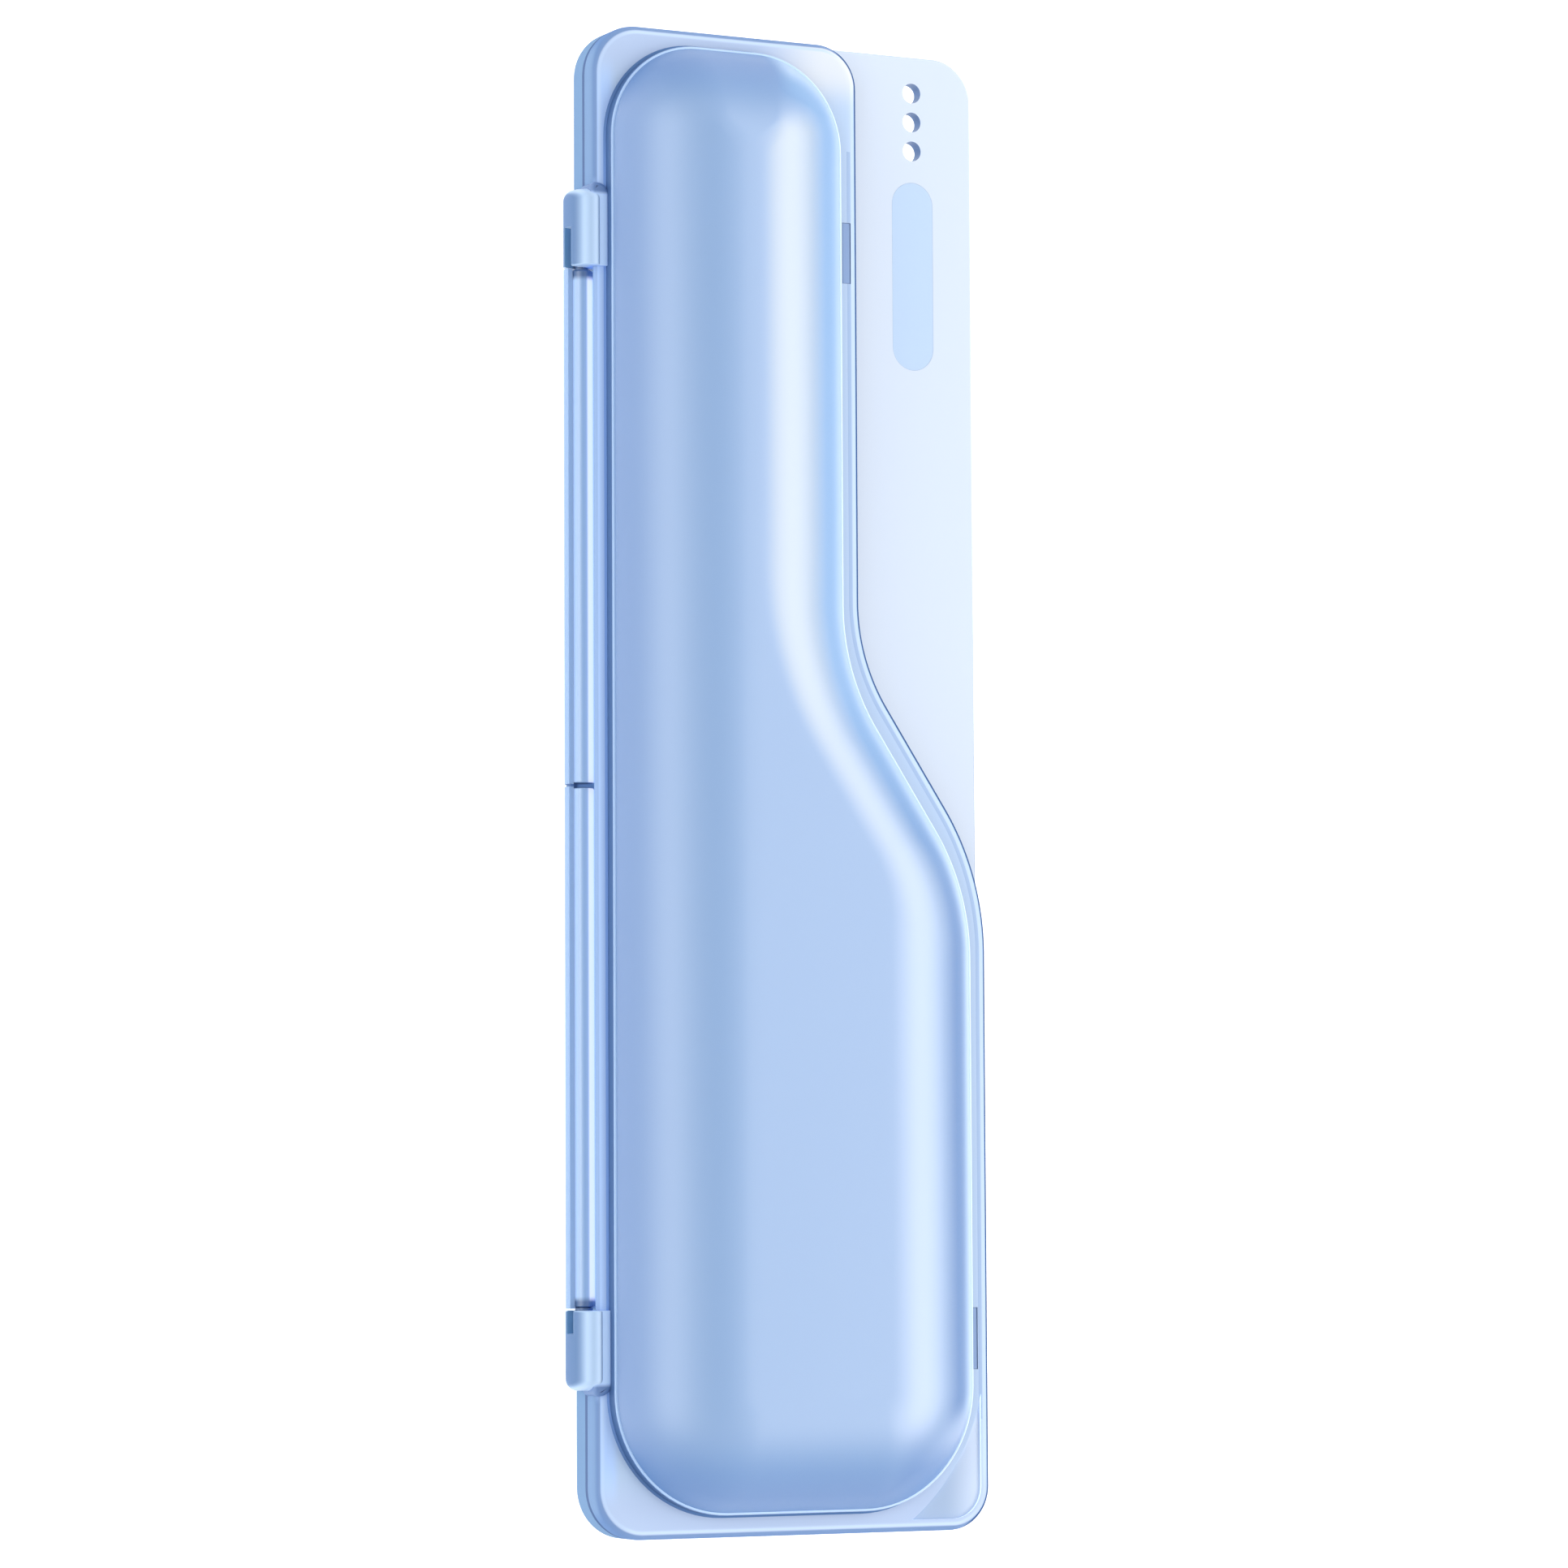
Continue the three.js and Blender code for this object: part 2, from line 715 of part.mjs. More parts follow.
// Rest for the spare brush head beside the handle: a floor with a fork at each end.
function brushHeadHolder() {
  const hollow = solid(loft(bowlLevels(wall + pieceClearance, partingZ)));
  const x0 = supportSideX + pieceClearance;
  const x1 = domeForm.body - bowlInset - wall;
  const y0 = bottom + headRestInset;
  const y1 = y0 + headRestLength;
  const floorZ = wall + pieceClearance;
  const forkZ = floorZ + headForkHeight;
  const blocks = [
    box(x0, y0, 0, x1, y1, floorZ + headRestFloor),
    box(x0, y0, 0, x1, y0 + headForkThickness, forkZ),
    box(x0, y1 - headForkThickness, 0, x1, y1, forkZ),
  ];
  const stem = solid(longCylinder((x0 + x1) / 2, forkZ, headStemRadius, y0 - cutOverrun, y1 + cutOverrun));
  return hollow.intersect(wasm.Manifold.union(blocks)).subtract(stem);
}

const plastic = (color, roughness) => new THREE.MeshStandardMaterial({ color, roughness, metalness: 0 });
const shellBlue = plastic(0xaccaf6, 0.35);
const paleBlue = plastic(0xcfe2fb, 0.4);
const rodBlue = plastic(0xb9d2f8, 0.3);
const softWhite = plastic(0xe4edf8, 0.7);

const travelCase = new THREE.Group();
travelCase.add(meshOf('base_shell', baseShell(), shellBlue));
travelCase.add(meshOf('lid_shell', lidShell(), shellBlue));
for (const { name, sign } of hingeHalves) {
  travelCase.add(meshOf(`hinge_rod_${name}`, hingeRod(sign), rodBlue));
}
travelCase.add(meshOf('label_inlay', labelInlay(), paleBlue));
travelCase.add(meshOf('handle_cradle_upper', handleCradle(upperCradleY), softWhite));
travelCase.add(meshOf('handle_cradle_lower', handleCradle(lowerCradleY), softWhite));
travelCase.add(meshOf('brush_head_holder', brushHeadHolder(), softWhite));
travelCase.add(meshOf('lid_pad_upper', lidPad(upperCradleY), softWhite));
travelCase.add(meshOf('lid_pad_lower', lidPad(lowerCradleY), softWhite));

export default travelCase;
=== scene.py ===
import math

import bpy
from mathutils import Matrix


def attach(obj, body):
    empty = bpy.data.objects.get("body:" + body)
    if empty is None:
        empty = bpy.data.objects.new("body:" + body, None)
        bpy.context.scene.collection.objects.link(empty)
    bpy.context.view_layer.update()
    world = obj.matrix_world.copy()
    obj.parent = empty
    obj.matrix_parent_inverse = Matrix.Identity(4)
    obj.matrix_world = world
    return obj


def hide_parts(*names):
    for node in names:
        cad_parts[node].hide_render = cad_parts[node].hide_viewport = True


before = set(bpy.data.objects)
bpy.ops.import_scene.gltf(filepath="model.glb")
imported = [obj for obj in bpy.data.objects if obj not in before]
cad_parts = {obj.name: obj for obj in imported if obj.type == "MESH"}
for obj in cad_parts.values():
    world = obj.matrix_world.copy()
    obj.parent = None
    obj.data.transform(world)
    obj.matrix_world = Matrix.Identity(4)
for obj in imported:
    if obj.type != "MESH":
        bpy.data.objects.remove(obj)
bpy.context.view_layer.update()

MM = 0.001

# Camera, from a fit of the case's outlines to the photograph
IMAGE_SIZE = 1932
FOCAL_LENGTH_IN_PIXELS = 7085
SENSOR_WIDTH = 36.0
CAMERA_SPOT = (-0.38304, -0.06485, 0.76903)
CAMERA_RIGHT = (0.89117, -0.00501, 0.45364)
CAMERA_UP = (-0.03016, 0.99707, 0.07025)
CAMERA_BACK = (-0.45267, -0.07628, 0.88841)

# Sizes of the case in millimetres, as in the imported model
LENGTH = 220.0
WIDTH = 64.5
WALL = 1.6
CLEARANCE = 0.3
OVERRUN = 2.0
TOUCH = 0.01
NEAR = 0.02
LEFT, RIGHT = -WIDTH / 2, WIDTH / 2
TOP, BOTTOM = LENGTH / 2, -LENGTH / 2
OPEN_CORNER = 6.4
HINGE_CORNER = 7.5

PARTING_Z = 17.0
LID_Z = 17.3
FLANGE_Z = 20.5
STEP_Z = 22.4
DOME_Z = 33.8
RIM_DEPTH = 3.4
PLATE = 2.0
CHAMFER = 0.25
FLANGE_FILLET = 1.5
EDGE_LINE = 0.5
EDGE_LINE_INSET = FLANGE_FILLET + 0.1
EDGE_LINE_END = 102.0

SHOULDER_TILT = 33.5
SHOULDER_Y = BOTTOM + 112.7
SHOULDER_INNER = 28.0
SHOULDER_OUTER = 39.0

NECK_RIGHT = LEFT + 43.65
DOME_HINGE_INSET = 2.05
DOME_OPEN_INSET = 3.95
DOME_SHOULDER_INSET = 4.6
DOME_TOP_INSET = 2.8
DOME_BOTTOM_INSET = 3.3
DOME_TOP_CORNER = 14.0
DOME_BOTTOM_CORNER = 18.0
DOME_LEAST_CORNER = 2.0
STEP_LAND = 0.38
STEP_FILLET = 0.2
FOOT_LINE = 0.42
DOME_REACH = 16.0
DOME_EDGE_ANGLE = 65.0
OPEN_SLIDE = 3.2
BOWL_INSET = 1.2
BOWL_STRAIGHT = 4.5
BOWL_REACH = 11.0
BOWL_EDGE_ANGLE = 84.0
LIP_HEIGHT = 1.0
LIP_CHAMFER = 0.2

HINGE_X = LEFT - 0.35
HINGE_Y = -1.55
HINGE_Z = PARTING_Z + 0.15
CHANNEL_RADIUS = 2.6
CHANNEL_BORE = 1.7
CHANNEL_START = 0.3
CHANNEL_GAP = 0.2
CHANNEL_WEB = 0.25
CHANNEL_END = 75.25
CHANNEL_OUTER_LIP = 164.0
CHANNEL_INNER_LIP = 395.0
ROD_RADIUS = 1.6
ROD_LENGTH = 74.9
ROD_ROUND = 0.3
PIN_RADIUS = 0.95
PIN_BORE = 1.2
PIN_LENGTH = 6.2
PIN_END_ROOM = 0.5
EAR_RADIUS = 2.65
EAR_START = 75.55
EAR_END = 87.0
EAR_RISE = 4.15
EAR_REACH = 3.15
EAR_END_RADIUS = 1.7
EAR_SHOULDER = 0.9
EAR_CROWN_X = 1.4
EAR_BASE_RISE = 0.8
EAR_INNER_RADIUS = 0.25
PAD_END = 87.75
PAD_THICKNESS = 0.55
PAD_CORNER = 1.8
PAD_HINGE_CORNER = 0.85
SLOT_WIDTH = 1.7
SLOT_ANGLE = 164.0
UPPER_SLOT_LENGTH = 5.8
LOWER_SLOT_LENGTH = 3.3

LATCH_Y = 80.3
UPPER_LATCH_INSET = 1.5
LOWER_LATCH_INSET = 2.2
WINDOW_WIDTH = 1.4
WINDOW_LENGTH = 9.1
TAB_THICKNESS = 1.3
TAB_LENGTH = 9.0
TAB_HEIGHT = 3.42
TAB_CHAMFER = 0.06
GAP = 0.12
FINGER_X = 0.2
FINGER_Y = BOTTOM + 26.5
FINGER_RADIUS = 31.0
FINGER_DEPTH = 0.4
FINGER_BORDER = 0.25
THUMB_DEPTH = 1.4

LABEL_X = 22.225
LABEL_RADIUS = 3.45
LABEL_TOP = TOP - 19.1 - LABEL_RADIUS
LABEL_BOTTOM = LABEL_TOP - 21.5
RECESS = 0.5
LABEL_THICKNESS = 0.49
LABEL_GAP = 0.01
LABEL_CHAMFER = 0.03
HOLES_Y = TOP - 9.9
HOLE_PITCH = 4.4
HOLE_RADIUS = 1.5
HOLE_ROW = (-1, 0, 1)

HANDLE_RADIUS = 14.0
HANDLE_CLEARANCE = 0.2
SADDLE_THICKNESS = 7.0
SADDLE_SIDE_WIDTH = 3.0
SADDLE_DROP = 4.0
UPPER_SADDLE_Y = TOP - 52.0
LOWER_SADDLE_Y = BOTTOM + 48.0
REST_BOTTOM = BOTTOM + 29.0
REST_LENGTH = 46.0
REST_FLOOR = 2.0
FORK_THICKNESS = 4.0
FORK_HEIGHT = 9.0
STEM_RADIUS = 4.2
SUPPORT_ROUND = 0.4
GROOVE_PITCH = 1.7
GROOVE_WIDTH = 0.7
GROOVE_DEPTH = 0.3
GROOVE_ROW = (-1, 0, 1)

# Fineness of the visible surfaces
CORNER_STEPS = 20
SHOULDER_STEPS = 24
PILLOW_STEPS = 26
FILLET_STEPS = 6
EAR_STEPS = 20
CHANNEL_STEPS = 48
ROUND_STEPS = 64


def place_camera():
    data = bpy.data.cameras.new("studio_camera")
    data.sensor_width = SENSOR_WIDTH
    data.lens = SENSOR_WIDTH * FOCAL_LENGTH_IN_PIXELS / IMAGE_SIZE
    data.clip_start = 0.05
    data.clip_end = 20.0
    camera = bpy.data.objects.new("studio_camera", data)
    turn = Matrix((CAMERA_RIGHT, CAMERA_UP, CAMERA_BACK)).transposed().to_4x4()
    camera.matrix_world = Matrix.Translation(CAMERA_SPOT) @ turn
    bpy.context.scene.collection.objects.link(camera)
    bpy.context.scene.camera = camera


place_camera()


# Outlines
def arc(x, y, radius, start, end, steps):
    points = []
    for i in range(steps + 1):
        angle = math.radians(start + (end - start) * i / steps)
        points.append((x + radius * math.cos(angle), y + radius * math.sin(angle)))
    return points


def chained(arcs, straight_parts):
    """Closed outline through arcs, with the straight runs between them cut into equal parts."""
    points = []
    for i, run in enumerate(arcs):
        points.extend(run)
        x0, y0 = run[-1]
        x1, y1 = arcs[(i + 1) % len(arcs)][0]
        parts = straight_parts[i]
        for k in range(1, parts):
            share = k / parts
            points.append((x0 + (x1 - x0) * share, y0 + (y1 - y0) * share))
    return points


class Bottle:
    """Bottle outline: straight hinge side, narrow top, wide bottom and an S-curve on the open side."""

    def __init__(self, left, neck, body, top, bottom, radii, least_radius, shift):
        self.left, self.neck, self.body = left, neck, body
        self.top, self.bottom = top, bottom
        self.radii = radii
        self.least_radius = least_radius
        self.shift = shift

    def outline(self, inset, slide=0.0):
        bottom_right, top_right, top_left, bottom_left = (
            max(radius - inset, self.least_radius) for radius in self.radii
        )
        x0, x_neck, x_body = self.left + inset, self.neck - inset - slide, self.body - inset - slide
        top_right, top_left = (min(radius, (x_neck - x0) * 0.4) for radius in (top_right, top_left))
        y0, y1 = self.bottom + inset, self.top - inset
        tilt = math.radians(SHOULDER_TILT)
        shift = self.shift + inset
        mid_x = (NECK_RIGHT + RIGHT) / 2 - shift * math.cos(tilt)
        mid_y = SHOULDER_Y - shift * math.sin(tilt)
        inner = SHOULDER_INNER + shift
        outer = SHOULDER_OUTER - shift
        outer_y = mid_y - (x_body - mid_x) / math.tan(tilt) - outer * math.tan(tilt / 2)
        inner_y = mid_y + (mid_x - x_neck) / math.tan(tilt) + inner * math.tan(tilt / 2)
        arcs = [
            arc(x_body - bottom_right, y0 + bottom_right, bottom_right, -90, 0, CORNER_STEPS),
            arc(x_body - outer, outer_y, outer, 0, SHOULDER_TILT, SHOULDER_STEPS),
            arc(x_neck + inner, inner_y, inner, 180 + SHOULDER_TILT, 180, SHOULDER_STEPS),
            arc(x_neck - top_right, y1 - top_right, top_right, 0, 90, CORNER_STEPS),
            arc(x0 + top_left, y1 - top_left, top_left, 90, 180, CORNER_STEPS),
            arc(x0 + bottom_left, y0 + bottom_left, bottom_left, 180, 270, CORNER_STEPS),
        ]
        return chained(arcs, (8, 3, 8, 3, 16, 4))


CASE_CORNERS = (OPEN_CORNER, OPEN_CORNER, HINGE_CORNER, HINGE_CORNER)
LID_FORM = Bottle(LEFT, NECK_RIGHT, RIGHT, TOP, BOTTOM, CASE_CORNERS, FLANGE_FILLET, 0.0)
LINE_FORM = Bottle(
    LEFT, NECK_RIGHT - EDGE_LINE, RIGHT - EDGE_LINE, TOP, BOTTOM,
    CASE_CORNERS, FLANGE_FILLET, EDGE_LINE,
)
DOME_FORM = Bottle(
    LEFT + DOME_HINGE_INSET,
    NECK_RIGHT - DOME_OPEN_INSET,
    RIGHT - DOME_OPEN_INSET,
    TOP - DOME_TOP_INSET,
    BOTTOM + DOME_BOTTOM_INSET,
    (DOME_BOTTOM_CORNER, DOME_TOP_CORNER, DOME_TOP_CORNER, DOME_BOTTOM_CORNER),
    DOME_LEAST_CORNER,
    DOME_SHOULDER_INSET,
)


def plate_outline(inset):
    open_side = OPEN_CORNER - inset
    hinge_side = HINGE_CORNER - inset
    x0, x1 = LEFT + inset, RIGHT - inset
    y0, y1 = BOTTOM + inset, TOP - inset
    arcs = [
        arc(x1 - open_side, y0 + open_side, open_side, -90, 0, CORNER_STEPS),
        arc(x1 - open_side, y1 - open_side, open_side, 0, 90, CORNER_STEPS),
        arc(x0 + hinge_side, y1 - hinge_side, hinge_side, 90, 180, CORNER_STEPS),
        arc(x0 + hinge_side, y0 + hinge_side, hinge_side, 180, 270, CORNER_STEPS),
    ]
    return chained(arcs, (8, 4, 8, 4))


def label_outline(inset):
    radius = LABEL_RADIUS - inset
    arcs = [
        arc(LABEL_X, LABEL_TOP, radius, 0, 180, CORNER_STEPS * 2),
        arc(LABEL_X, LABEL_BOTTOM, radius, 180, 360, CORNER_STEPS * 2),
    ]
    return chained(arcs, (1, 1))


# Meshes
def object_of(name, points, faces):
    mesh = bpy.data.meshes.new(name)
    mesh.from_pydata([(x * MM, y * MM, z * MM) for x, y, z in points], [], faces)
    mesh.validate()
    mesh.update()
    piece = bpy.data.objects.new(name, mesh)
    bpy.context.scene.collection.objects.link(piece)
    return piece


def lofted(name, levels, along_case=False):
    """Closed skin through a stack of outlines with equally many points."""
    count = len(levels[0][0])
    points = []
    for outline, height in levels:
        for u, v in outline:
            points.append((u, height, v) if along_case else (u, v, height))
    faces = []
    for level in range(len(levels) - 1):
        low, high = level * count, (level + 1) * count
        for i in range(count):
            k = (i + 1) % count
            faces.append((low + i, low + k, high + k, high + i))
    last = (len(levels) - 1) * count
    faces.append(tuple(reversed(range(count))))
    faces.append(tuple(range(last, last + count)))
    if along_case:
        faces = [tuple(reversed(face)) for face in faces]
    return object_of(name, points, faces)


def block(name, x0, y0, z0, x1, y1, z1):
    outline = [(x0, y0), (x1, y0), (x1, y1), (x0, y1)]
    return lofted(name, [(outline, z0), (outline, z1)])


def upright_cylinder(name, x, y, radius, z0, z1, steps=ROUND_STEPS):
    outline = arc(x, y, radius, 0, 360, steps)[:-1]
    return lofted(name, [(outline, z0), (outline, z1)])


def long_cylinder(name, x, z, radius, y0, y1, steps=ROUND_STEPS):
    outline = arc(x, z, radius, 0, 360, steps)[:-1]
    return lofted(name, [(outline, min(y0, y1)), (outline, max(y0, y1))], along_case=True)


def applied(piece):
    """Turn a piece's modifiers into plain mesh."""
    bpy.context.view_layer.update()
    shaped = piece.evaluated_get(bpy.context.evaluated_depsgraph_get())
    old = piece.data
    mesh = bpy.data.meshes.new_from_object(shaped)
    piece.modifiers.clear()
    piece.data = mesh
    bpy.data.meshes.remove(old)
    return piece


def combined(piece, operation, tools):
    """Exact union, cut or common part of a piece with tools, which are used up."""
    for tool in tools:
        step = piece.modifiers.new(operation.lower(), "BOOLEAN")
        step.operation = operation
        step.solver = "EXACT"
        step.object = tool
        applied(piece)
        bpy.data.objects.remove(tool)
    return piece


def rounded(piece, radius):
    """Small rounds along every edge."""
    rounds = piece.modifiers.new("rounds", "BEVEL")
    rounds.width = radius * MM
    rounds.segments = 3
    rounds.limit_method = "ANGLE"
    rounds.angle_limit = math.radians(35)
    return applied(piece)


def smoothed(piece, angle=28.0):
    mesh = piece.data
    mesh.shade_smooth()
    mesh.set_sharp_from_angle(angle=math.radians(angle))
    return piece


# Levels shared by the lid's and the base's skins
def pillow_levels(form, edge_inset, reach, edge_angle, start_z, rise, slide=0.0):
    """Arched skin from an edge to its crown, which reaches further in from the open side."""
    edge = math.radians(edge_angle)
    levels = []
    for i in range(1, PILLOW_STEPS + 1):
        angle = edge * (1 - i / PILLOW_STEPS)
        inward = 1 - math.sin(angle) / math.sin(edge)
        upward = (math.cos(angle) - math.cos(edge)) / (1 - math.cos(edge))
        outline = form.outline(edge_inset + reach * inward, slide * inward)
        levels.append((outline, start_z + rise * upward))
    return levels


def fillet_levels(form, inset, z, radius):
    """Quarter round from a wall at an inset up to a level top."""
    levels = []
    for i in range(FILLET_STEPS + 1):
        angle = math.pi / 2 * i / FILLET_STEPS
        levels.append((
            form.outline(inset + radius * (1 - math.cos(angle))),
            z - radius * (1 - math.sin(angle)),
        ))
    return levels


def dome_levels(inset, start_z):
    step_z = STEP_Z - inset
    rise = DOME_Z - STEP_Z
    return [
        (DOME_FORM.outline(inset), start_z),
        *fillet_levels(DOME_FORM, inset, step_z, STEP_FILLET),
        (DOME_FORM.outline(inset + STEP_LAND), step_z),
        *pillow_levels(
            DOME_FORM, inset + STEP_LAND, DOME_REACH - inset, DOME_EDGE_ANGLE, step_z, rise, OPEN_SLIDE
        ),
    ]


def bowl_levels(inset, end_z):
    edge_inset = BOWL_INSET + inset
    curve_z = PARTING_Z - BOWL_STRAIGHT
    curve = pillow_levels(DOME_FORM, edge_inset, BOWL_REACH, BOWL_EDGE_ANGLE, curve_z, inset - curve_z)
    return [
        *reversed(curve),
        (DOME_FORM.outline(edge_inset), curve_z),
        (DOME_FORM.outline(edge_inset), end_z),
    ]


def finger_corner(name, z0, z1):
    corner = block(name, FINGER_X, BOTTOM - OVERRUN, z0, RIGHT + OVERRUN, FINGER_Y, z1)
    disc = upright_cylinder("disc", FINGER_X, FINGER_Y, FINGER_RADIUS, z0 - 1, z1 + 1, 256)
    return combined(corner, "DIFFERENCE", [disc])


# Zones of the skins, in the order of their finishes
(
    LID_SHELL, LID_FLANGE, LID_STEP, LID_RIM, LID_FOOT,
    LID_RELIEF, LID_RELIEF_EDGE, LID_BED, LID_SEAM, LID_LINE,
) = range(10)
BASE_SHELL, BASE_PLATE, BASE_SEAM, BASE_TAB, BASE_BED, BASE_LIP, BASE_HOLE = range(7)
EAR_OUTSIDE, EAR_SLOT = range(2)
DOME_CROWN = DOME_FORM.outline(1.0)
FLANGE_FIELD = LID_FORM.outline(FLANGE_FILLET + FINGER_BORDER - NEAR)
DOME_FOOT = DOME_FORM.outline(-FOOT_LINE - NEAR)
LID_INNER = LID_FORM.outline(CHAMFER + 0.05)
LINE_INNER = LINE_FORM.outline(EDGE_LINE_INSET + 0.05)
LID_OUTER = LID_FORM.outline(-0.1)

# Open edge and middle of each latch
LATCHES = (
    (NECK_RIGHT - UPPER_LATCH_INSET, HINGE_Y + LATCH_Y),
    (RIGHT - LOWER_LATCH_INSET, HINGE_Y - LATCH_Y),
)
# Name, direction along the case and length of the ear's slot
HINGE_SIDES = (("upper", 1, UPPER_SLOT_LENGTH), ("lower", -1, LOWER_SLOT_LENGTH))


def along(sign, distance):
    return HINGE_Y + sign * distance


def inside(outline, x, y):
    crossings = 0
    for i, (x1, y1) in enumerate(outline):
        x0, y0 = outline[i - 1]
        if (y0 > y) != (y1 > y) and x < x0 + (x1 - x0) * (y - y0) / (y1 - y0):
            crossings += 1
    return crossings % 2 == 1


def zoned(piece, zone_of):
    """Give each face the material number that zone_of finds for its corners."""
    spots = [tuple(vertex.co / MM) for vertex in piece.data.vertices]
    for face in piece.data.polygons:
        face.material_index = zone_of([spots[i] for i in face.vertices])
    return piece


def in_bed(spots, radius):
    return all(
        math.hypot(x - HINGE_X, z - HINGE_Z) < radius and abs(y - HINGE_Y) < EAR_START + TOUCH
        for x, y, z in spots
    )


def lid_zone(spots):
    low = min(z for _, _, z in spots)
    high = max(z for _, _, z in spots)
    if in_bed(spots, CHANNEL_RADIUS + GAP + NEAR):
        return LID_BED
    if high > STEP_Z + TOUCH or any(inside(DOME_CROWN, x, y) for x, y, _ in spots):
        return LID_SHELL
    if high > STEP_Z - STEP_FILLET + TOUCH:
        return LID_RIM
    if high > FLANGE_Z + TOUCH:
        return LID_STEP
    if FLANGE_Z - FINGER_DEPTH - TOUCH < low < FLANGE_Z - TOUCH:
        if high - low < TOUCH:
            return LID_RELIEF
        if all(inside(FLANGE_FIELD, x, y) for x, y, _ in spots):
            return LID_RELIEF_EDGE
    if low > FLANGE_Z - TOUCH and all(inside(DOME_FOOT, x, y) for x, y, _ in spots):
        return LID_FOOT
    if LID_Z + TOUCH < high < LID_Z + CHAMFER + TOUCH:
        return LID_SEAM
    on_line = all(
        x > 0 and abs(y) < EDGE_LINE_END and not inside(LINE_INNER, x, y) for x, y, _ in spots
    )
    if low > FLANGE_Z - TOUCH and on_line:
        return LID_LINE
    return LID_FLANGE


def lid_skin():
    hollow = reversed(dome_levels(WALL, LID_Z))
    flange = [
        (LID_FORM.outline(CHAMFER), LID_Z),
        (LID_FORM.outline(0.0), LID_Z + CHAMFER),
        *fillet_levels(LID_FORM, 0.0, FLANGE_Z, FLANGE_FILLET),
        (LINE_FORM.outline(EDGE_LINE_INSET), FLANGE_Z),
        (DOME_FORM.outline(-FOOT_LINE), FLANGE_Z),
    ]
    dome = dome_levels(0.0, FLANGE_Z)
    skin = lofted("lid_skin", [*hollow, *flange, *dome])
    scallop = long_cylinder(
        "scallop", HINGE_X, HINGE_Z, CHANNEL_RADIUS + GAP, along(1, EAR_START), along(-1, EAR_START)
    )
    windows = [
        block("window", edge - WINDOW_WIDTH, y - WINDOW_LENGTH / 2, LID_Z - OVERRUN,
              edge, y + WINDOW_LENGTH / 2, FLANGE_Z + OVERRUN)
        for edge, y in LATCHES
    ]
    relief = finger_corner("relief", FLANGE_Z - FINGER_DEPTH, FLANGE_Z + OVERRUN)
    field_outline = LID_FORM.outline(FLANGE_FILLET + FINGER_BORDER)
    field = lofted("field", [(field_outline, FLANGE_Z - 1), (field_outline, FLANGE_Z + 1)])
    relief = combined(relief, "INTERSECT", [field])
    combined(skin, "DIFFERENCE", [scallop, *windows, relief])
    return smoothed(zoned(skin, lid_zone))


def drawn_in(outline, x, z, factor):
    return [(x + (u - x) * factor, z + (v - z) * factor) for u, v in outline]


def round_ended(name, outline, x, z, size, end_radius, inner, outer):
    """Bar along the case with a small round at its inner end and a larger one at its outer end."""
    inner_radius = EAR_INNER_RADIUS
    direction = 1 if outer > inner else -1
    levels = []
    for i in range(FILLET_STEPS + 1):
        angle = math.pi / 2 * (1 - i / FILLET_STEPS)
        factor = 1 - inner_radius / size * (1 - math.cos(angle))
        level = inner + direction * inner_radius * (1 - math.sin(angle))
        levels.append((drawn_in(outline, x, z, factor), level))
    for i in range(FILLET_STEPS * 2 + 1):
        angle = math.pi / 2 * i / (FILLET_STEPS * 2)
        factor = 1 - end_radius / size * (1 - math.cos(angle))
        level = outer - direction * end_radius * (1 - math.sin(angle))
        levels.append((drawn_in(outline, x, z, factor), level))
    levels.sort(key=lambda level: level[1])
    return lofted(name, levels, along_case=True)


def ear_outline():
    """Section of an ear: half round behind the rod, arched up to a shoulder on the lid's side."""
    crown = []
    for i in range(EAR_STEPS + 1):
        angle = math.pi / 2 * (1 - i / EAR_STEPS)
        crown.append((
            HINGE_X - EAR_RADIUS + EAR_REACH * (1 - math.cos(angle)),
            HINGE_Z + EAR_RISE * math.sin(angle),
        ))
    shoulder = arc(
        HINGE_X + EAR_CROWN_X - EAR_SHOULDER, HINGE_Z + EAR_RISE - EAR_SHOULDER, EAR_SHOULDER, 0, 90, 10
    )
    return [
        *arc(HINGE_X, HINGE_Z, EAR_RADIUS, 180, 360, 32)[1:],
        (HINGE_X + EAR_RADIUS, HINGE_Z + EAR_BASE_RISE),
        (HINGE_X + EAR_CROWN_X, HINGE_Z + EAR_BASE_RISE),
        *shoulder,
        *crown[1:],
    ]


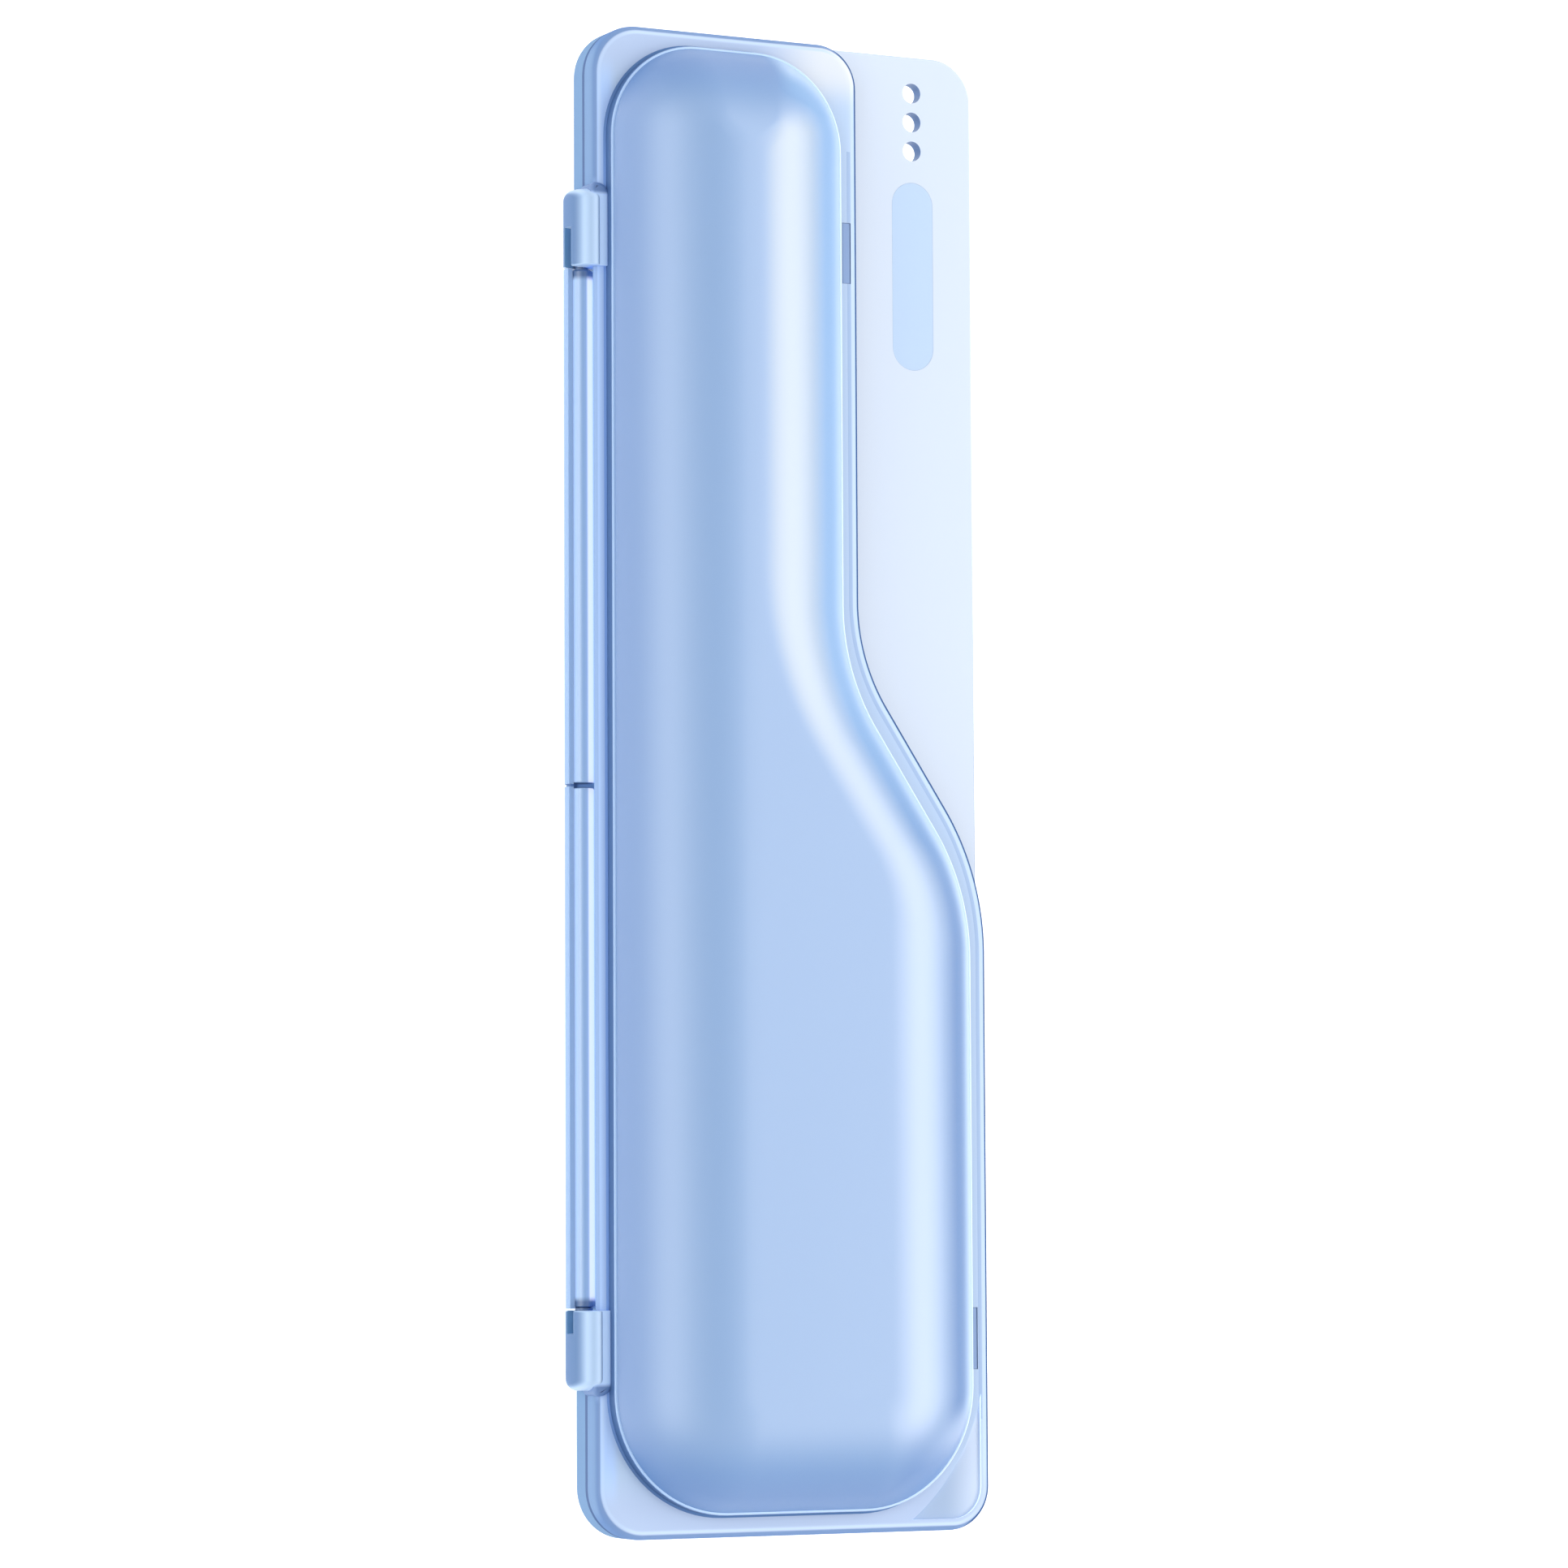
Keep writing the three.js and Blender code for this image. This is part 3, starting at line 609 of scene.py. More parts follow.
def hinge_ear(name, sign, slot_length):
    ear = round_ended(
        f"ear_{name}", ear_outline(), HINGE_X, HINGE_Z, EAR_RADIUS, EAR_END_RADIUS,
        along(sign, EAR_START), along(sign, EAR_END),
    )
    bore_end = CHANNEL_START + ROD_LENGTH + PIN_LENGTH + PIN_END_ROOM
    bore = long_cylinder("bore", HINGE_X, HINGE_Z, PIN_BORE, along(sign, CHANNEL_END), along(sign, bore_end))
    near = along(sign, CHANNEL_END - OVERRUN)
    far = along(sign, EAR_START + slot_length)
    reach = EAR_RADIUS + OVERRUN
    slot = block("slot", 0, min(near, far), -SLOT_WIDTH / 2, reach, max(near, far), SLOT_WIDTH / 2)
    turn = Matrix.Rotation(-math.radians(SLOT_ANGLE), 4, "Y")
    slot.data.transform(Matrix.Translation((HINGE_X * MM, 0, HINGE_Z * MM)) @ turn)
    combined(ear, "DIFFERENCE", [bore, slot])

    def zone(spots):
        hollow = any(math.hypot(x - HINGE_X, z - HINGE_Z) < EAR_RADIUS * 0.8 for x, _, z in spots)
        in_slot = all(abs(y - HINGE_Y) < EAR_START + slot_length + TOUCH for _, y, _ in spots)
        runs_along = len({round(y, 3) for _, y, _ in spots}) > 1
        return EAR_SLOT if hollow and in_slot and runs_along else EAR_OUTSIDE

    return smoothed(zoned(ear, zone), 40)


def ear_pad(name, sign):
    """Raised pad behind an ear: square towards the rod, rounded at its far end."""
    high = FLANGE_Z + PAD_THICKNESS
    levels = []
    for i in range(FILLET_STEPS + 2):
        angle = math.pi / 2 * max(i - 1, 0) / FILLET_STEPS
        inset = PAD_THICKNESS * (1 - math.cos(angle))
        z = LID_Z if i == 0 else high - PAD_THICKNESS * (1 - math.sin(angle))
        x0, x1 = LEFT - PAD_THICKNESS + inset, DOME_FORM.left + 0.3 - inset
        near, far = EAR_START, PAD_END - inset
        corner = PAD_CORNER - inset * 0.5
        hinge_corner = PAD_HINGE_CORNER - inset * 0.5
        outline = [
            (x0, near), (x1, near),
            *arc(x1 - corner, far - corner, corner, 0, 90, 12),
            *arc(x0 + hinge_corner, far - hinge_corner, hinge_corner, 90, 180, 12),
        ]
        outline = [(x, along(sign, y)) for x, y in outline]
        levels.append((outline if sign > 0 else outline[::-1], z))
    return smoothed(lofted(f"pad_{name}", levels), 40)


def base_zone(spots):
    low = min(z for _, _, z in spots)
    high = max(z for _, _, z in spots)
    if high > PARTING_Z + LIP_HEIGHT + 0.5 and spots[0][0] > LEFT + 10:
        return BASE_TAB
    if in_bed(spots, CHANNEL_RADIUS + NEAR):
        return BASE_BED if in_bed(spots, CHANNEL_RADIUS - NEAR) else BASE_LIP
    if all(HOLE_RADIUS + 0.1 > min(
        math.hypot(x - LABEL_X, y - HOLES_Y - HOLE_PITCH * k) for k in HOLE_ROW
    ) for x, y, _ in spots):
        return BASE_HOLE
    under_lid = any(inside(LID_INNER, x, y) for x, y, _ in spots)
    beyond_lid = any(not inside(LID_OUTER, x, y) for x, y, _ in spots)
    if low > PARTING_Z - PLATE - 0.1 and spots[0][0] > 0 and beyond_lid and not under_lid:
        return BASE_PLATE
    if low > PARTING_Z - CHAMFER - TOUCH and 0.1 < high - low < CHAMFER + TOUCH and not beyond_lid:
        return BASE_SEAM
    return BASE_SHELL


def channel(name, radius, sign, start, end):
    """C-shaped channel for a rod, open towards the lid."""
    outline = [
        *arc(HINGE_X, HINGE_Z, radius, CHANNEL_OUTER_LIP, CHANNEL_INNER_LIP, CHANNEL_STEPS),
        *arc(HINGE_X, HINGE_Z, CHANNEL_BORE, CHANNEL_INNER_LIP, CHANNEL_OUTER_LIP, CHANNEL_STEPS),
    ]
    low, high = sorted((along(sign, start), along(sign, end)))
    return lofted(name, [(outline, low), (outline, high)], along_case=True)


def base_skin():
    under_z = PARTING_Z - PLATE
    rim_z = PARTING_Z - RIM_DEPTH
    outside = bowl_levels(0.0, under_z)
    lip_inset = WALL + CLEARANCE
    hollow_inset = BOWL_INSET + WALL
    rim = [
        (LID_FORM.outline(DOME_HINGE_INSET), under_z),
        (LID_FORM.outline(DOME_HINGE_INSET), rim_z + CHAMFER),
        (LID_FORM.outline(DOME_HINGE_INSET - CHAMFER), rim_z),
        (LID_FORM.outline(CHAMFER), rim_z),
        (LID_FORM.outline(0.0), rim_z + CHAMFER),
        (LID_FORM.outline(0.0), PARTING_Z - CHAMFER),
        (LID_FORM.outline(CHAMFER), PARTING_Z),
        (DOME_FORM.outline(lip_inset), PARTING_Z),
        (DOME_FORM.outline(lip_inset), PARTING_Z + LIP_HEIGHT - LIP_CHAMFER),
        (DOME_FORM.outline(lip_inset + LIP_CHAMFER), PARTING_Z + LIP_HEIGHT),
        (DOME_FORM.outline(hollow_inset - LIP_CHAMFER), PARTING_Z + LIP_HEIGHT),
        (DOME_FORM.outline(hollow_inset), PARTING_Z + LIP_HEIGHT - LIP_CHAMFER),
    ]
    hollow = reversed(bowl_levels(WALL, PARTING_Z))
    skin = lofted("base_skin", [*outside, *rim, *hollow])
    plate = lofted("plate", [
        (plate_outline(CHAMFER), under_z),
        (plate_outline(0.0), under_z + CHAMFER),
        (plate_outline(0.0), PARTING_Z - CHAMFER),
        (plate_outline(CHAMFER), PARTING_Z),
    ])
    field = lofted("field", [
        (DOME_FORM.outline(lip_inset - 1.0), under_z - 1),
        (DOME_FORM.outline(lip_inset - 1.0), PARTING_Z + 1),
    ])
    plate = combined(plate, "DIFFERENCE", [field])
    channels = []
    bores = []
    for _, sign, _ in HINGE_SIDES:
        channels.append(channel("channel", CHANNEL_RADIUS, sign, CHANNEL_GAP, CHANNEL_END))
        channels.append(channel("web", CHANNEL_RADIUS - CHANNEL_WEB, sign, 0.0, CHANNEL_GAP + 0.1))
        notch = sorted((along(sign, CHANNEL_END), along(sign, EAR_END + GAP)))
        bores.append(block(
            "notch", HINGE_X - EAR_RADIUS - OVERRUN, notch[0], rim_z - OVERRUN,
            HINGE_X + EAR_RADIUS + CLEARANCE, notch[1], PARTING_Z + OVERRUN,
        ))
    bores.append(long_cylinder(
        "rod_bed", HINGE_X, HINGE_Z, CHANNEL_BORE, along(1, CHANNEL_END), along(-1, CHANNEL_END)
    ))
    tabs = []
    for edge, y in LATCHES:
        x1 = edge - (WINDOW_WIDTH - TAB_THICKNESS) / 2
        x0 = x1 - TAB_THICKNESS
        z1 = PARTING_Z + TAB_HEIGHT
        outline = [
            (x0, PARTING_Z - 1), (x1, PARTING_Z - 1), (x1, z1 - TAB_CHAMFER),
            (x1 - TAB_CHAMFER, z1), (x0 + TAB_CHAMFER, z1), (x0, z1 - TAB_CHAMFER),
        ]
        tabs.append(lofted(
            "tab", [(outline, y - TAB_LENGTH / 2), (outline, y + TAB_LENGTH / 2)], along_case=True
        ))
    holes = [
        upright_cylinder("hole", LABEL_X, HOLES_Y + HOLE_PITCH * k, HOLE_RADIUS, under_z - 1, PARTING_Z + 1)
        for k in HOLE_ROW
    ]
    recess = lofted("recess", [
        (label_outline(0.0), PARTING_Z - RECESS),
        (label_outline(0.0), PARTING_Z + 1),
    ])
    thumb = finger_corner("thumb", PARTING_Z - THUMB_DEPTH, PARTING_Z + OVERRUN)
    combined(skin, "UNION", [plate, *channels, *tabs])
    combined(skin, "DIFFERENCE", [*bores, *holes, recess, thumb])
    return smoothed(zoned(skin, base_zone))


def hinge_rod(name, sign):
    profile = []
    for i in range(5):
        angle = math.pi / 2 * i / 4
        profile.append((
            ROD_RADIUS - ROD_ROUND * (1 - math.sin(angle)),
            ROD_ROUND * (1 - math.cos(angle)),
        ))
    profile.extend([
        (ROD_RADIUS, ROD_LENGTH - ROD_ROUND),
        (ROD_RADIUS - ROD_ROUND, ROD_LENGTH),
        (PIN_RADIUS, ROD_LENGTH),
        (PIN_RADIUS, ROD_LENGTH + PIN_LENGTH - ROD_ROUND),
        (PIN_RADIUS - ROD_ROUND, ROD_LENGTH + PIN_LENGTH),
    ])
    levels = [
        (arc(HINGE_X, HINGE_Z, radius, 0, 360, ROUND_STEPS)[:-1], along(sign, CHANNEL_START + y))
        for radius, y in profile
    ]
    levels.sort(key=lambda level: level[1])
    return smoothed(lofted(f"rod_{name}", levels, along_case=True))


def label_plate():
    low = PARTING_Z - RECESS
    high = low + LABEL_THICKNESS
    return smoothed(lofted("label_plate", [
        (label_outline(LABEL_GAP), low),
        (label_outline(LABEL_GAP), high - LABEL_CHAMFER),
        (label_outline(LABEL_GAP + LABEL_CHAMFER), high),
    ]))


HANDLE_X = (DOME_FORM.left + DOME_FORM.neck) / 2
SUPPORT_SIDE_X = HANDLE_X + HANDLE_RADIUS + SADDLE_SIDE_WIDTH
SUPPORT_INSET = WALL + CLEARANCE
SUPPORT_BODY, SUPPORT_LINING = range(2)


def lined(piece, x, z, radius):
    """Soft lining on the faces that hold something round."""
    def zone(spots):
        on_seat = all(math.hypot(u - x, v - z) < radius for u, _, v in spots)
        return SUPPORT_LINING if on_seat else SUPPORT_BODY

    return smoothed(zoned(piece, zone), 40)


def saddle(name, y, z0, z1, levels):
    """Saddle that follows the shell inside, with grip grooves across its seat for the handle."""
    piece = lofted(name, levels)
    half = SADDLE_THICKNESS / 2
    room = block("room", LEFT, y - half, z0, SUPPORT_SIDE_X, y + half, z1)
    seat = HANDLE_RADIUS + HANDLE_CLEARANCE
    handle = long_cylinder("handle", HANDLE_X, PARTING_Z, seat, BOTTOM, TOP, ROUND_STEPS * 2)
    combined(piece, "INTERSECT", [room])
    combined(piece, "DIFFERENCE", [handle])
    rounded(piece, SUPPORT_ROUND)
    grooves = []
    for k in GROOVE_ROW:
        middle = y + GROOVE_PITCH * k
        grooves.append(long_cylinder(
            "groove", HANDLE_X, PARTING_Z, seat + GROOVE_DEPTH,
            middle - GROOVE_WIDTH / 2, middle + GROOVE_WIDTH / 2, ROUND_STEPS * 2,
        ))
    combined(piece, "DIFFERENCE", grooves)
    return lined(piece, HANDLE_X, PARTING_Z, seat + GROOVE_DEPTH + 0.1)


def handle_cradle(name, y):
    return saddle(name, y, 0.0, PARTING_Z - SADDLE_DROP, bowl_levels(SUPPORT_INSET, PARTING_Z))


def lid_pad(name, y):
    return saddle(name, y, PARTING_Z + SADDLE_DROP, DOME_Z, dome_levels(SUPPORT_INSET, PARTING_Z))


def brush_head_holder():
    """Rest for the spare brush head: a floor with a fork at each end."""
    x0 = SUPPORT_SIDE_X + CLEARANCE
    x1 = DOME_FORM.body - BOWL_INSET - WALL
    y0, y1 = REST_BOTTOM, REST_BOTTOM + REST_LENGTH
    fork_z = SUPPORT_INSET + FORK_HEIGHT
    middle = (x0 + x1) / 2
    rest = block("rest", x0, y0, 0.0, x1, y1, SUPPORT_INSET + REST_FLOOR)
    forks = [
        block("fork", x0, y0, 0.0, x1, y0 + FORK_THICKNESS, fork_z),
        block("fork", x0, y1 - FORK_THICKNESS, 0.0, x1, y1, fork_z),
    ]
    combined(rest, "UNION", forks)
    piece = lofted("brush_rest", bowl_levels(SUPPORT_INSET, PARTING_Z))
    stem = long_cylinder("stem", middle, fork_z, STEM_RADIUS, y0 - OVERRUN, y1 + OVERRUN)
    combined(piece, "INTERSECT", [rest])
    combined(piece, "DIFFERENCE", [stem])
    rounded(piece, SUPPORT_ROUND)
    return lined(piece, middle, fork_z, STEM_RADIUS + 0.1)


# Shader maths
BLACK = (0.0, 0.0, 0.0, 1.0)
WHITE = (1.0, 1.0, 1.0, 1.0)
FLOW_SCALE = 14.0
FLOW_SHARE = 0.06
RIM_ROUGHNESS = 0.48
GRAIN_SCALE = 1900.0
GRAIN_DEPTH = 0.00004


class Shade:
    """A socket of a material's nodes, with arithmetic on its value."""

    def __init__(self, material, socket):
        self.material = material
        self.socket = socket

    def _math(self, operation, first, second=0.0):
        return self.material.node(
            "ShaderNodeMath", {"operation": operation}, {0: first, 1: second}
        )

    def __add__(self, other):
        return self._math("ADD", self, other)

    __radd__ = __add__

    def __sub__(self, other):
        return self._math("SUBTRACT", self, other)

    def __rsub__(self, other):
        return self._math("SUBTRACT", other, self)

    def __mul__(self, other):
        return self._math("MULTIPLY", self, other)

    __rmul__ = __mul__


class Nodes:
    """The nodes of one material or of the studio's light dome."""

    def __init__(self, owner):
        owner.use_nodes = True
        self.nodes = owner.node_tree.nodes
        self.links = owner.node_tree.links

    def node(self, kind, settings=None, inputs=None, output=0):
        made = self.nodes.new(kind)
        for key, value in (settings or {}).items():
            setattr(made, key, value)
        for key, value in (inputs or {}).items():
            self.feed(made.inputs[key], value)
        return Shade(self, made.outputs[output])

    def feed(self, socket, value):
        if isinstance(value, Shade):
            self.links.new(value.socket, socket)
        else:
            socket.default_value = value

    def part(self, vector, axis):
        return self.node("ShaderNodeSeparateXYZ", {}, {0: vector}, output=axis)

    def size_of(self, value):
        return self.node("ShaderNodeMath", {"operation": "ABSOLUTE"}, {0: value})

    def eased(self, value, start, end):
        """Smooth 0 to 1 as the value goes from start to end."""
        return self.node(
            "ShaderNodeMapRange", {"interpolation_type": "SMOOTHSTEP"},
            {0: value, 1: start, 2: end, 3: 0.0, 4: 1.0},
        )

    def mixed(self, share, first, second):
        return self.node(
            "ShaderNodeMix", {"data_type": "RGBA"}, {0: share, 6: first, 7: second}, output=2
        )


class Finish(Nodes):
    """A Principled material built from nodes."""

    def __init__(self, name):
        self.material = bpy.data.materials.new(name)
        super().__init__(self.material)
        self.shader = next(node for node in self.nodes if node.type == "BSDF_PRINCIPLED")

    def set(self, **values):
        for key, value in values.items():
            self.feed(self.shader.inputs[key.replace("_", " ")], value)
        return self

    def noise(self, scale, detail=2.0):
        spot = self.node("ShaderNodeTexCoord", output="Object")
        return self.node(
            "ShaderNodeTexNoise", {}, {"Vector": spot, "Scale": scale, "Detail": detail}
        )

    def flow(self, detail=2.0):
        """Faint clouds in the colour of the plastic."""
        return self.noise(FLOW_SCALE, detail) * FLOW_SHARE

    def grained(self, roughness):
        """Fine moulded grain in roughness and relief."""
        grain = self.noise(GRAIN_SCALE)
        relief = self.node(
            "ShaderNodeBump", {}, {"Strength": 0.04, "Distance": GRAIN_DEPTH, "Height": grain}
        )
        return self.set(Roughness=grain * 0.06 + (roughness - 0.03), Normal=relief)

    def facing(self, axis):
        """How far a face looks along an axis of the case, -1 to 1."""
        return self.part(self.node("ShaderNodeTexCoord", output="Normal"), axis)

    def place(self, axis):
        """Place on the case along an axis, in millimetres."""
        return self.part(self.node("ShaderNodeTexCoord", output="Object"), axis) * 1000.0

    def along_rods(self):
        """Distance from where the rods meet, in millimetres."""
        return self.size_of(self.place(1) - HINGE_Y)

    def between(self, value, low, rise, high, fall):
        """A soft band of a value: up from low over rise, down to nothing at high over fall."""
        return self.eased(value, low, low + rise) * self.eased(value, high, high - fall)

    def levelness(self):
        return self.size_of(self.facing(2))

    def depth(self):
        """Share of painted shade: more on walls, round the ends, on the hinge-side wall and at the lower
        corner of the open side.
        """
        open_side = self.facing(0)
        wall = self.eased(self.levelness(), 0.93, 0.45)
        end = self.eased(self.size_of(self.facing(1)), 0.12, 0.9)
        hinge_wall = self.eased(open_side, -0.6, -0.92)
        corner = self.eased(self.facing(1), -0.1, -0.45) * self.eased(open_side, 0.05, 0.3)
        return wall * 0.45 + end * 0.64 + hinge_wall * 0.38 + corner * 0.4

    def with_painted_shade(self, colour, shade_colour):
        """Level faces keep the colour; steep walls and ends get painted shade."""
        return self.mixed(self.depth() + self.flow(3.0), colour, shade_colour)

    def open_wall(self, start=0.94, end=0.8):
        """The steep side away from the hinge, but not its lower corner."""
        above_corner = self.eased(self.facing(1), -0.4, -0.08)
        steep = self.eased(self.facing(2), start, end)
        return steep * self.eased(self.facing(0), 0.0, 0.3) * above_corner

    def gloss(self):
        """Gloss of the coat: full on top, weaker on the steep open side and round the ends."""
        steep = self.open_wall(0.93, 0.78)
        end = self.eased(self.size_of(self.facing(1)), 0.2, 0.65)
        return 1.0 - steep * 0.9 - end * 0.9


def linear(red, green, blue):
    """Linear colour of an 8-bit display colour."""
    def one(value):
        value /= 255
        return value / 12.92 if value <= 0.04045 else ((value + 0.055) / 1.055) ** 2.4
    return (one(red), one(green), one(blue), 1.0)


def satin_plastic(name, roughness=0.5, coat=1.0, coat_roughness=0.34):
    """Satin translucent plastic whose colour is still to be set."""
    return Finish(name).grained(roughness).set(
        Coat_Weight=coat,
        Coat_Roughness=coat_roughness,
        Coat_IOR=1.65,
        IOR=1.65,
        Subsurface_Weight=0.1,
        Subsurface_Radius=(0.6, 0.8, 1.0),
        Subsurface_Scale=0.003,
    )


def moulded_plastic(name, colour, shade_colour, roughness=0.5, coat=1.0):
    finish = satin_plastic(name, roughness, coat)
    # Steep walls and ends take painted shade in the shade colour.
    return finish.set(Base_Color=finish.with_painted_shade(colour, shade_colour))


def edged_plastic(name, colour, end_colour, hinge_colour, shade_colour, edge, wall, open_shade_colour, rim_shade_colour,
                  corner_colour):
    """The same plastic on thin rims: a painted highlight line on rounded edges, painted shade where they turn
    away.

    The narrow strips at the ends and beside the hinge get painted tones that stand in for the light and shade
    from the dome next to them.
    """
    finish = Finish(name).grained(RIM_ROUGHNESS)
    level = finish.levelness()
    # Painted light and shade on the strips at the ends, at the top corner and beside the hinge.
    ends = finish.eased(finish.size_of(finish.place(1)), 99.0, 106.0)
    hinge_strip = finish.eased(finish.place(0), LEFT + 4.0, LEFT + 2.2)
    top_corner = finish.eased(finish.place(1), 96.0, 104.0) * finish.eased(finish.place(0), -6.0, 6.0)
    field = finish.mixed(ends, colour, finish.mixed(top_corner, end_colour, corner_colour))
    field = finish.mixed(hinge_strip * (1.0 - ends) + finish.flow(3.0), field, hinge_colour)
    # Painted shade where rounded edges turn away from the level faces, deepest on the open side.
    side = finish.facing(0)
    turned_open = finish.eased(side, 0.2, 0.45)
    beside_rods = finish.eased(finish.along_rods(), EAR_END + 2.0, EAR_END)
    hinge_round = finish.mixed(beside_rods * 0.5, shade_colour, hinge_colour)
    turned = finish.mixed(turned_open, hinge_round, open_shade_colour)
    turned = finish.mixed(finish.eased(side, -0.75, -0.95), turned, wall)
    tone = finish.mixed(finish.eased(level, 0.9, 0.8), field, turned)
    facing_out = finish.eased(side, 0.02, 0.2)
    # Painted dark rim along the open side's outer round.
    rim = finish.eased(level, 0.54, 0.46) * turned_open
    tone = finish.mixed(rim, tone, rim_shade_colour)
    # Painted highlight line along the rounded edges, weaker beside the rods.
    highlight_line = finish.between(level, 0.87, 0.06, 0.998, 0.03) * (1.0 - facing_out)
    open_side = finish.eased(finish.place(0), LEFT + 4.0, LEFT + 6.0)
    return finish.set(
        Base_Color=finish.mixed(highlight_line * (0.5 - beside_rods * 0.5 + open_side * 0.5), tone, edge),
        Coat_Weight=finish.eased(level, 0.4, 0.9) * (1.0 - turned_open) * 0.7,
        Coat_Roughness=0.34,
        Coat_IOR=1.5,
        Specular_IOR_Level=0.0,
    )


def foot_plastic(name, colour, shadow_colour, hinge_colour):
    """Flange round the dome's foot: a painted contact shadow round the ends, and a deeper painted shade
    beside the hinge.
    """
    finish = Finish(name).grained(RIM_ROUGHNESS)
    end = finish.eased(finish.size_of(finish.place(1)), 86.0, 103.0)
    hinge_side = finish.eased(finish.place(0), LEFT + 8.0, LEFT + 4.0)
    return finish.set(
        Base_Color=finish.mixed(end, finish.mixed(hinge_side, colour, hinge_colour), shadow_colour),
        Specular_IOR_Level=0.0,
    )


def painted_glow(finish, band, colour, strength):
    """Painted glow: emission in a band of the round, standing in for light that the plastic carries along."""
    return finish.set(
        Emission_Color=finish.mixed(band, BLACK, colour),
        Emission_Strength=strength,
    )


def rod_plastic(name, colour, shadow_colour):
    """Rods get painted shade in their bed at the ears and where they meet, and a painted highlight line along
    their tops as emission.
    """
    finish = satin_plastic(name, 0.3, 0.8, 0.15)
    along_rod = finish.along_rods()
    # Painted shade where the rods run into the ears and where they meet.
    bed_end = finish.eased(along_rod, CHANNEL_END - 1.8, CHANNEL_END - 0.8)
    bed_end = bed_end + finish.eased(along_rod, 0.5, 0.35)
    side = finish.facing(0)
    # Painted highlight line along the tops and painted light on the outer side, both as emission.
    highlight_line = finish.between(side, -0.05, 0.25, 0.98, 0.25) * (1.0 - bed_end)
    outer = finish.eased(side, -0.68, -0.92) * (1.0 - bed_end) * 0.8
    lit = finish.mixed(highlight_line, BLACK, linear(246, 234, 212))
    return finish.set(
        Base_Color=finish.mixed(bed_end + finish.flow(), colour, shadow_colour),
        Coat_Weight=0.8 - bed_end * 0.7,
        Emission_Color=finish.mixed(outer, lit, linear(180, 196, 212)),
        Emission_Strength=0.6,
    )


def ear_plastic(name, colour, shade_colour):
    """Ears: painted shade on both sides, with a painted glow band towards the hinge side of their tops."""
    finish = satin_plastic(name)
    side = finish.facing(0)
    shade = finish.eased(side, -0.6, -0.95) + finish.eased(side, 0.45, 0.8) * 0.7 + finish.flow()
    finish.set(
        Base_Color=finish.mixed(shade, colour, shade_colour),
        Coat_Weight=1.0 - finish.eased(side, -0.4, -0.85) * 0.95,
    )
    return painted_glow(finish, finish.between(side, -0.4, 0.4, 0.5, 0.35), linear(154, 166, 178), 0.5)


def bed_plastic(name, colour, shadow_colour):
    """Beds of the rods: painted shade where the rods meet and at the ears, with a painted glow as emission,
    dimmer on the outer side.
    """
    finish = Finish(name).grained(RIM_ROUGHNESS)
    along_rod = finish.along_rods()
    mid_gap = finish.eased(along_rod, 0.6, 0.4)
    bed_end = finish.eased(along_rod, CHANNEL_END - 1.6, CHANNEL_END - 0.6)
    outer_side = finish.eased(finish.place(0), HINGE_X + 0.3, HINGE_X - 0.3)
    glow = finish.mixed(mid_gap + bed_end, linear(152, 182, 226), linear(70, 98, 142))
    return finish.set(
        Base_Color=finish.mixed(mid_gap + finish.noise(FLOW_SCALE, 3.0) * 0.1, colour, shadow_colour),
        Emission_Color=finish.mixed(outer_side, glow, linear(36, 56, 92)),
        Emission_Strength=1.1,
    )


def pad_plastic(name, colour, shadow_colour):
    """The ears' pads: painted shade at their far ends by the ears, and a faint painted glow all over as
    emission.
    """
    finish = satin_plastic(name, 0.5, 0.2)
    far_end = finish.eased(finish.along_rods(), EAR_END - 1.2, EAR_END - 0.4)
    return finish.set(
        Base_Color=finish.mixed(far_end + finish.flow(), colour, shadow_colour),
        Emission_Color=linear(60, 90, 160),
        Emission_Strength=0.25,
    )


# Finishes
def shell_plastic(name, colour, shade_colour):
    """Dome and bowl: painted shade on the steep open side, darker above all beside the body's wide part, and
    a painted highlight on the neck's crest.
    """
    finish = satin_plastic(name)
    # Painted shade on the steep open side, deeper beside the body's wide part.
    neck_side = finish.eased(finish.place(1), -30.0, 15.0)
    open_tone = finish.mixed(neck_side, linear(62, 110, 168), linear(108, 150, 198))
    open_tone = finish.mixed(finish.open_wall(0.77, 0.58), open_tone, linear(150, 180, 216))
    # Painted highlight on the crest of the neck, fading round the ends.
    crest = finish.eased(finish.facing(0), 0.02, 0.16) * neck_side
    crest = crest * finish.eased(finish.size_of(finish.facing(1)), 0.4, 0.05)
    tone = finish.mixed(crest, finish.with_painted_shade(colour, shade_colour), linear(140, 164, 192))
    return finish.set(
        Base_Color=finish.mixed(finish.open_wall(), tone, open_tone),
        Coat_Weight=finish.gloss(),
    )


def relief_plastic(name, colour, open_colour):
    """Floor of the finger relief, painted lighter towards the open edge."""
    finish = satin_plastic(name)
    share = finish.eased(finish.place(0), 24.0, 31.5) + finish.flow()
    return finish.set(Base_Color=finish.mixed(share, colour, open_colour))


def plate_plastic(name, colour, shade_colour, side_colour):
    """Thin plate with a painted glow as emission, standing in for light that shines through it. Its open side
    wall takes painted shade towards the body, where the glow is left off.
    """
    finish = satin_plastic(name, 0.5, 0.2)
    side = finish.eased(finish.facing(0), 0.3, 0.7) * finish.eased(finish.place(1), 60.0, -24.0)
    return finish.set(
        Base_Color=finish.mixed(side, finish.with_painted_shade(colour, shade_colour), side_colour),
        Emission_Color=finish.mixed(side, linear(208, 220, 226), BLACK),
        Emission_Strength=0.36,
    )


shell_blue = shell_plastic("shell_blue", linear(125, 158, 201), linear(80, 122, 178))
